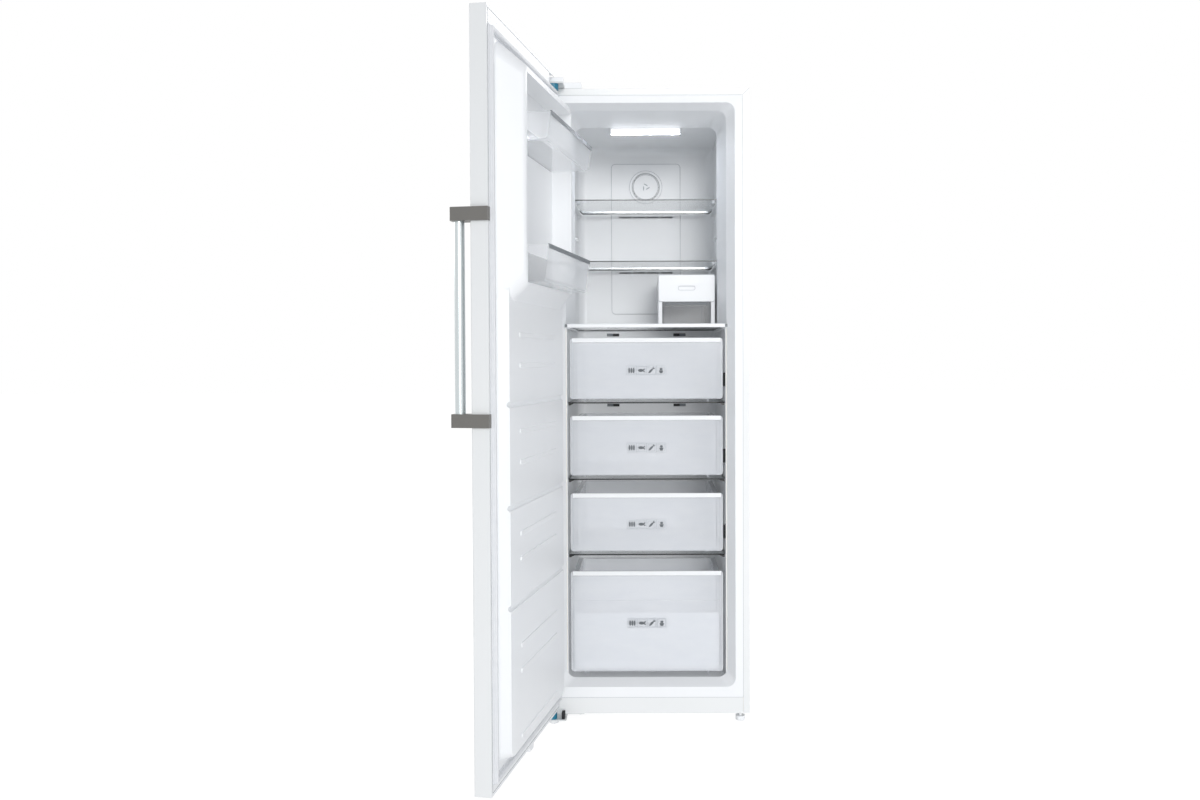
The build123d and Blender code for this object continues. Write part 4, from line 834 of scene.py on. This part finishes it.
@dataclass
class WallClips:
    """The spring clips on the rear wall behind the drawers: a grey tongue beside a dark slot."""

    half: float = 20.5
    height: float = 9.0
    proud: float = 3.0
    depth: float = 0.8  # of the slot's hollow and of the tongue's pad
    from_middle: float = 111.5
    heights: Pair = (1134.0, 898.0)

    def build(self) -> None:
        """Builds both halves of all four clips."""
        wall = corners("duct_panel")[1][1]
        for name, side, finish, slot in (
            ("wall_clip_slots", -1, Finishes.BLACK_PLASTIC, "black_plastic"),
            ("wall_clip_tongues", 1, Finishes.POCKET_TRIM, "grey_trim"),
        ):
            pieces = []
            for hand in (-1, 1):
                inner = hand * self.from_middle
                x = tuple(sorted((inner, inner + hand * side * self.half)))
                for height in self.heights:
                    part = block(f"wall_clip_{len(pieces)}", x, (wall - self.proud, wall),
                                 around(height, self.height / 2))
                    inset_front(part, margin=1.6, depth=-side * self.depth)
                    pieces.append(round_edges(part, width=0.5))
            finish_piece(joined(name, pieces), finish)


# ---------------- drawers


@dataclass
class Pictograms:
    """Four generic food signs in square frames on a drawer's front: bread, fish, carrot and cup."""

    number: int  # the drawer's
    square: float = 25.5
    pitch: float = 28.9
    line: float = 1.2
    corner: float = 2.0
    thickness: float = 0.25
    place: float = 0.53  # their middle, as a share of the front's height
    # the ovals of each sign: right and up of its middle, half width, half height, turn in degrees
    signs: tuple = (
        ((-6.4, 0.0, 2.6, 8.0, 0), (0.0, 0.0, 2.6, 8.0, 0), (6.4, 0.0, 2.6, 8.0, 0)),
        ((-2.0, 0.0, 7.6, 4.4, 0), (7.2, 2.6, 3.8, 1.6, -40), (7.2, -2.6, 3.8, 1.6, 40)),
        ((-1.6, -1.6, 8.6, 3.0, -45), (5.6, 7.2, 3.4, 1.2, -75), (7.2, 5.2, 3.4, 1.2, -15)),
        ((0.0, 3.6, 4.4, 3.4, 0),),
    )
    bowl_half: float = 6.4
    bowl_foot: float = 0.55  # its foot's width, as a share of its rim's
    bowl_heights: Range = (-8.4, -0.4)

    def build(self) -> None:
        """Builds the drawer's row of signs, with the cup's tapered bowl before its ball."""
        y, z = corners(f"drawer_{self.number}_basket")[1:]
        front = y[0] - self.thickness / 2
        middle = z[0] + self.place * (corners(f"drawer_{self.number}_strip")[2][0] - z[0])
        depth = around(front, self.thickness / 2)
        half = self.square / 2
        frames, signs = [], []
        for i, ovals in enumerate(self.signs):
            x = (i - (len(self.signs) - 1) / 2) * self.pitch
            frames.append(ring("sign_frame", around(x, half), depth, around(middle, half), self.line,
                               self.corner))
            if i == len(self.signs) - 1:
                bowl = block("sign_bowl", around(x, self.bowl_half), depth,
                             tuple(middle + height for height in self.bowl_heights))
                signs.append(narrow_foot(bowl, (self.bowl_foot, 1.0), (x, front)))
            signs += [oval("sign_oval", (x + right, front, middle + up), size, self.thickness, turn)
                      for right, up, *size, turn in ovals]
        name = f"drawer_{self.number}"
        finish_piece(joined(f"{name}_sign_frames", frames), Finishes.FINE_LINE, Body(name))
        finish_piece(joined(f"{name}_signs", signs), Finishes.PRINT, Body(name))


@dataclass
class DrawerFronts:
    """What shows on the drawers' clear fronts: upright mould lines, the lowest tub's inner step, and painted shade
    in its floor vents.
    """

    line: float = 0.9
    proud: float = 0.3
    inset: float = 6.5  # front's side to the line
    foot: float = 9.0
    step_inset: float = 13.0  # front's side to the lowest tub's inner step
    step_setback: float = 6.0  # front to the step
    step_wall: float = 1.2
    step_heights: Range = (24.0, 187.0)  # above the tub's underside
    vent_count: int = 4
    vent_pitch: float = 89.0
    vent_half_length: float = 29.0
    vent_half_width: float = 3.3
    vent_middle: float = -44.0
    vent_floor: float = 135.0
    vent_sheet: float = 0.8

    def build(self) -> None:
        """Builds the lines of every drawer, then the lowest tub's parts."""
        self.build_lines()
        self.build_low_tub()

    def build_lines(self) -> None:
        """Lays two thin upright lines on each front, from the grip strip's ends to the foot."""
        for number in DRAWERS:
            x, y, z = corners(f"drawer_{number}_basket")
            start = x[0] + self.inset
            line = block(f"drawer_{number}_lines", (start, start + self.line), (y[0] - self.proud, y[0]),
                         (z[0] + self.foot, corners(f"drawer_{number}_strip")[2][0]))
            bevel_along(line, Along.Z, self.line / 4, before=y[0] - self.proud / 2)
            pair = copies(line, [(x[1] - x[0] - 2 * self.inset - self.line, 0.0, 0.0)])
            finish_piece(pair, Finishes.FINE_LINE, Body(f"drawer_{number}"))

    def build_low_tub(self) -> None:
        """Builds the lowest tub's inner step, and dark plates of painted shade in the vents of its floor, where
        the holes would show the pale liner beneath.
        """
        x, y, z = corners("drawer_4_basket")
        face = y[0] + self.step_setback
        step = block("drawer_4_inner_step", inner(x, self.step_inset), (face, face + self.step_wall),
                     tuple(z[0] + height for height in self.step_heights))
        inset_front(step, margin=6.0, depth=-0.4)
        finish_piece(round_edges(step, width=0.3), Finishes.CLEAR_PLASTIC, Body.DRAWER_4)
        # dark plates just under the floor's vents: painted shade, so the holes look dark though the liner beneath
        # is pale
        first = -(self.vent_count - 1) / 2 * self.vent_pitch
        vent_shade = block("drawer_4_vent_painted_shade", around(first, self.vent_half_length),
                       around(self.vent_middle, self.vent_half_width),
                       (self.vent_floor - self.vent_sheet, self.vent_floor))
        bevel_along(vent_shade, Along.Z, self.vent_half_width * 0.95, segments=5)
        shifts = [(self.vent_pitch * i, 0.0, 0.0) for i in range(1, self.vent_count)]
        finish_piece(copies(vent_shade, shifts), Finishes.SEAM, Body.DRAWER_4)


# ---------------- inside


@dataclass
class GlassEdges:
    """The dark ground edges of the shelves and separators, the shelves' clips, and wedges of painted shadow at the
    separators' ends, where the runner slots lie in shade.
    """

    edge_height: float = 2.6
    drop: float = 0.5  # pane's top to the dark edge
    proud: float = 0.4
    shelf_half: float = 208.0
    clip: Point = (13.0, 16.0, 9.0)
    clip_setback: float = 1.0
    clip_place: float = 205.0
    separator_tops: tuple[float, ...] = (479.0, 701.0, 926.0)
    wedge: Pair = (24.0, 9.0)
    cap_width: float = 7.0
    cap_margin: float = 1.0

    def build(self) -> None:
        """Builds the shelves' edges and clips, the separators' strips with their painted shadows, and the caps of
        the trim.
        """
        self.build_shelves()
        self.build_separators()
        x, y, z = corners("section_trim")
        cap = block("section_trim_caps", (x[0], x[0] + self.cap_width), (y[0] - self.proud, y[0]),
                    inner(z, self.cap_margin))
        inset_front(cap, margin=1.0, depth=-0.2)
        across = x[1] - x[0] - self.cap_width
        finish_piece(copies(cap, [(across, 0.0, 0.0)]), Finishes.SEAM)

    def strip(self, name: str, half: float, front: float, high: float) -> Piece:
        """A thin strip with broken edges, before a pane's front edge and up to a height, in mm."""
        piece = block(name, (-half, half), (front - self.proud, front), (high - self.edge_height, high))
        return bevel_along(piece, Along.X, self.proud * 0.6, before=front - self.proud / 2)

    def build_shelves(self) -> None:
        """Builds each shelf's dark front edge and the two clips under its front corners."""
        width, depth, height = self.clip
        left = -self.clip_place
        for node in ("upper_shelf", "lower_shelf"):
            y, z = corners(node)[1:]
            edge = self.strip(f"{node}_edge", self.shelf_half, y[0], z[1] - self.drop)
            finish_piece(edge, Finishes.EDGE_BLACK)
            front = y[0] + self.clip_setback
            clip = block(f"{node}_clips", around(left, width / 2), (front, front + depth),
                         (z[0] - height, z[0]))
            narrow_foot(clip, shares=(0.7, 0.8), towards=(left, y[0] + 4.0))
            round_edges(clip, width=1.2, segments=3)
            finish_piece(copies(clip, [(2 * self.clip_place, 0.0, 0.0)]), Finishes.CLIP)

    def build_separators(self) -> None:
        """Builds each separator's dark strip, with a wedge of painted shadow at each of its two ends."""
        x, y, _ = corners("separator_shelves")
        length, height = self.wedge
        pieces = []
        for top in self.separator_tops:
            high = top - self.drop
            pieces.append(self.strip(f"separator_edge_{len(pieces)}", x[1], y[0], high))
            # painted shadow: a dark wedge at each end, where the runner slot lies in shade
            for side in (-1, 1):
                span = tuple(sorted((side * x[1], side * (x[1] - length))))
                end = block(f"separator_painted_shadow_{len(pieces)}", span, (y[0] - self.proud, y[0]),
                            (high - height, high))
                pieces.append(narrow_foot(end, shares=(0.2, 1.0), towards=(side * x[1], 0.0)))
        finish_piece(joined("separator_edges_and_shadows", pieces), Finishes.EDGE_BLACK)


@dataclass
class DuctPanelLines:
    """Dark lines on the duct panel: painted shade along the gap round its rim, rings of painted contact shadow at
    the air outlet, and a plain swirl.
    """

    proud: float = 0.4
    rings: tuple[float, ...] = (55.0, 46.5, 41.5)
    ring_line: float = 1.0
    swirl_blades: int = 3
    swirl_radius: float = 8.0
    swirl_blade: Pair = (7.5, 1.6)
    swirl_lean: float = 30.0  # degrees

    def build(self) -> None:
        """Builds the painted shade round the rim, the painted shadow rings and the swirl."""
        # a dark line of painted shade along the gap round the panel's edge
        rim = outline("duct_panel_painted_shade", "duct_panel", inset=0.5, proud=self.proud, line=1.2, radius=13.0)
        finish_piece(rim, Finishes.FINE_LINE)
        y, z = corners("duct_disc")[1:]
        middle = sum(z) / 2
        face = y[0] - self.proud / 2
        disc = (0.0, face, middle)
        # rings of painted contact shadow: one at the disc's edge and two either side of its groove
        pieces = [opened(drum(f"outlet_shadow_ring_{i}", disc, radius, self.proud, sides=64), self.ring_line)
                  for i, radius in enumerate(self.rings)]
        for i in range(self.swirl_blades):
            turn = 360 / self.swirl_blades * i
            angle = math.radians(turn + 90)
            at = (self.swirl_radius * math.cos(angle), face, middle + self.swirl_radius * math.sin(angle))
            pieces.append(oval(f"swirl_blade_{i}", at, self.swirl_blade, self.proud, self.swirl_lean - turn))
        finish_piece(joined("outlet_shadow_rings", pieces), Finishes.FINE_LINE)


@dataclass
class IceMakerLines:
    """The outlines on the ice maker: the housing's and the tray's edges, the grip's rim, the bin's ribs and a band
    of painted shade along the bin's top.
    """

    proud: float = 0.3
    line: float = 1.0
    grip: Pair = (52.0, 13.0)
    rim_inset: float = 8.0
    rim_proud: float = 0.5
    rim_heights: Range = (8.5, 1.0)  # below the bin's top
    ribs: tuple[float, ...] = (28.0, 73.0, 118.0)  # from the bin's left side
    rib_foot: float = 9.0
    rib_gap: float = 2.0  # painted shade band to the ribs

    def build(self) -> None:
        """Builds the lines of the housing, of the tray and of the bin."""
        kind = {"proud": self.proud, "line": self.line}
        rim = outline("ice_housing_rim", "ice_housing", inset=0.4, radius=7.0, **kind)
        finish_piece(rim, Finishes.FINE_LINE)
        edge = outline("ice_tray_rim", "ice_tray_drawer", inset=0.3, radius=5.0, **kind)
        x, y, z = corners("ice_tray_drawer")
        half_width, half_height = (size / 2 for size in self.grip)
        grip = ring("ice_tray_grip", around(sum(x) / 2, half_width), (y[0] - self.proud, y[0]),
                    around(sum(z) / 2, half_height), self.line, half_height * 0.95)
        lines = joined("ice_tray_lines", [edge, grip])
        finish_piece(lines, Finishes.FINE_LINE, Body.ICE_TRAY)
        self.build_bin()

    def build_bin(self) -> None:
        """Builds a dark band of painted shade below the bin's top edge, standing in for the shaded gap above the
        bin, and the fine ribs down its front.
        """
        x, y, z = corners("ice_bin")
        # painted shade: a dark band standing in for the shaded gap above the bin
        low, high = (z[1] - height for height in self.rim_heights)
        rim = block("ice_bin_painted_shade", inner(x, self.rim_inset), (y[0] - self.rim_proud, y[0]), (low, high))
        inset_front(rim, margin=1.2, depth=-0.2)
        finish_piece(rim, Finishes.SEAM, Body.ICE_BOX)
        pieces = [block(f"ice_bin_rib_{i}", (x[0] + rib, x[0] + rib + self.line), (y[0] - self.proud, y[0]),
                        (z[0] + self.rib_foot, low - self.rib_gap)) for i, rib in enumerate(self.ribs)]
        for piece in pieces:
            bevel_along(piece, Along.Z, width=0.12)
        finish_piece(joined("ice_bin_ribs", pieces), Finishes.FINE_LINE, Body.ICE_BOX)


# ---------------- door


@dataclass
class DoorLines:
    """The fine dark line round the door's inner face, where the skin's folded edge ends."""

    half: float = 297.5
    low: float = 48.0
    high: float = 1854.0
    face: float = -310.0  # the shut door's inner face
    fold: float = 7.0
    line: float = 0.9
    proud: float = 0.35

    def build(self) -> None:
        """Lays the seam of the folded edge."""
        seam = ring("door_fold_seam", around(0, self.half - self.fold), (self.face, self.face + self.proud),
                    inner((self.low, self.high), self.fold), self.line)
        finish_piece(swing_open(seam), Finishes.SEAM, Body.DOOR)


# ---------------- studio


def hang(name: str, kind: str, place: Point, power: float, aim: Point | None = None,
         **settings: object) -> Piece:
    """Hangs a lamp.

    Args:
        name: its name.
        kind: its type.
        place: where it hangs, in metres.
        power: its power, in watts, or in watts per square metre for a sun.
        aim: the point it faces, in metres; without one it shines down.
        settings: what else its light is set to.

    Returns:
        The lamp.
    """
    data = bpy.data.lights.new(name, kind)
    data.energy = power
    for key, value in settings.items():
        setattr(data, key, value)
    lamp = bpy.data.objects.new(name, data)
    lamp.location = place
    if aim:
        lamp.rotation_euler = (Vector(aim) - Vector(place)).to_track_quat("-Z", "Y").to_euler()
    bpy.context.scene.collection.objects.link(lamp)
    return lamp


@dataclass
class Studio:
    """The pale floor, the white surroundings and the lamps."""

    ambient: float = 0.50
    sky: str = "F7FAFF"
    sun: float = 1.12
    sun_way: Point = (-0.16, 1.0, -0.22)
    sun_width: float = 24.0  # degrees
    side_lamp_size: float = 2.4  # metres
    left_lamp: float = 40.0
    rear_lamp: float = 60.0
    ceiling_glow: float = 15.0
    diodes: float = 1.9
    diode_colour: str = "EEF4FF"
    diode_drop: float = 2.0  # below the diffuser
    floor_half: float = 30.0  # metres
    floor_colour: str = "F4F4F4"
    floor_glow: float = 0.76  # share of the floor that is plain white to the camera
    floor_white: float = 1.20  # strength of that share, which makes the lit floor just white

    def build(self) -> None:
        """Builds the surroundings, the floor and the lamps."""
        self.build_surroundings()
        self.build_floor()
        self.build_lamps()

    def show(self, tree: Tree, light: Socket, look: Socket, share: float, output: bpy.types.Node) -> None:
        """Lights the object by one shader and shows another one to the eye.

        Args:
            tree: the node tree.
            light: the first shader.
            look: the second, for camera, glossy and transmitted rays.
            share: how much of it they see.
            output: the tree's output.
        """
        seen = tree.rays("Is Camera Ray", "Is Glossy Ray", "Is Transmission Ray")
        part = tree.compute("MULTIPLY", {1: share}, {0: seen})
        mix = tree.add("MixShader", None, {0: part, 1: light, 2: look})
        tree.tree.links.new(mix.outputs[0], output.inputs["Surface"])

    def build_surroundings(self) -> None:
        """A world that is white to the eye and a little dimmer as light."""
        world = bpy.data.worlds.new("surroundings")
        world.use_nodes = True
        bpy.context.scene.world = world
        tree = Tree(world.node_tree)
        light, white = (tree.add("Background", {"Color": colour, "Strength": strength}).outputs[0]
                        for colour, strength in ((linear(self.sky), self.ambient), ((1, 1, 1, 1), 1.0)))
        self.show(tree, light, white, 1.0, world.node_tree.nodes["World Output"])

    def build_floor(self) -> None:
        """A wide plain floor that keeps the freezer's shadow."""
        bpy.ops.object.select_all(action="DESELECT")
        bpy.ops.mesh.primitive_plane_add(size=2 * self.floor_half)
        floor = named("studio_floor")
        finish = bpy.data.materials.new("floor_pale")
        finish.use_nodes = True
        finish.node_tree.nodes.clear()
        tree = Tree(finish.node_tree)
        matt = tree.add("BsdfDiffuse", {"Color": linear(self.floor_colour)})
        white = tree.add("Emission", {"Strength": self.floor_white})
        output = tree.add("OutputMaterial")
        self.show(tree, matt.outputs[0], white.outputs[0], self.floor_glow, output)
        floor.data.materials.append(finish)

    def build_lamps(self) -> None:
        """Soft light from the camera's side, weaker lamps round it, and the lit lamp in the ceiling."""
        hang("front_light", "SUN", (0, 0, 0), self.sun, self.sun_way, angle=math.radians(self.sun_width))
        size = self.side_lamp_size
        hang("left_lamp", "AREA", (-3.6, 1.6, 2.8), self.left_lamp, aim=(0.0, 0.0, 1.0), size=size)
        hang("rear_lamp", "AREA", (2.8, 3.2, 3.2), self.rear_lamp, aim=(0.0, 0.0, 1.0), size=size)
        # before the open front: light thrown up on the ceiling and the undersides of the shelves
        low = hang("low_lamp", "AREA", (0.95, -2.0, 0.1), self.ceiling_glow, aim=(0.0, -0.15, 1.77), size=1.4)
        low.visible_camera = False
        low.visible_glossy = False
        x, y, z = corners("lamp_diffuser")
        hang("diodes", "AREA", Vector((sum(x) / 2, sum(y) / 2, z[0] - self.diode_drop)) * MM, self.diodes,
             shape="RECTANGLE", size=(x[1] - x[0]) * MM, size_y=(y[1] - y[0]) * MM,
             color=linear(self.diode_colour)[:3])


@dataclass
class Viewpoint:
    """The camera at the photograph's place, as fitted to the freezer's corners."""

    place: Point = (2.4, -3157.6, 1045.8)
    focal_pixels: float = 991.41
    middle: Pair = (644.92, 381.65)  # the lens axis in the frame, in pixels
    frame_size: tuple[int, int] = (1200, 800)
    yaw: float = 0.127  # degrees, as the two below
    pitch: float = -1.187
    roll: float = -0.208
    sensor: float = 36.0

    def build(self) -> None:
        """Sets the camera and makes it the scene's own."""
        data = bpy.data.cameras.new("photo_camera")
        width, height = self.frame_size
        data.sensor_width = self.sensor
        data.lens = self.focal_pixels * self.sensor / width
        data.shift_x = (width / 2 - self.middle[0]) / width
        data.shift_y = (self.middle[1] - height / 2) / width
        camera = bpy.data.objects.new("photo_camera", data)
        turn = Matrix.Rotation(math.pi / 2, 4, "X")
        for angle, axis in ((-self.roll, "Y"), (self.pitch, "X"), (self.yaw, "Z")):
            turn = Matrix.Rotation(math.radians(angle), 4, axis) @ turn
        camera.matrix_world = Matrix.Translation(Vector(self.place) * MM) @ turn
        bpy.context.scene.collection.objects.link(camera)
        bpy.context.scene.camera = camera


def main() -> None:
    """Builds the sub-assemblies in order and reports each piece."""
    logging.basicConfig(level=logging.INFO, format="%(name)s: %(message)s")
    Finishes.dress_nodes()
    signs = [Pictograms(number) for number in DRAWERS]
    for part in (CabinetFront(), RearSheet(), WallClips(), *signs, DrawerFronts(), GlassEdges(),
                 DuctPanelLines(), IceMakerLines(), DoorLines(), Studio(), Viewpoint()):
        part.build()
    bpy.context.scene.view_settings.view_transform = "Standard"


if __name__ == "__main__":
    main()
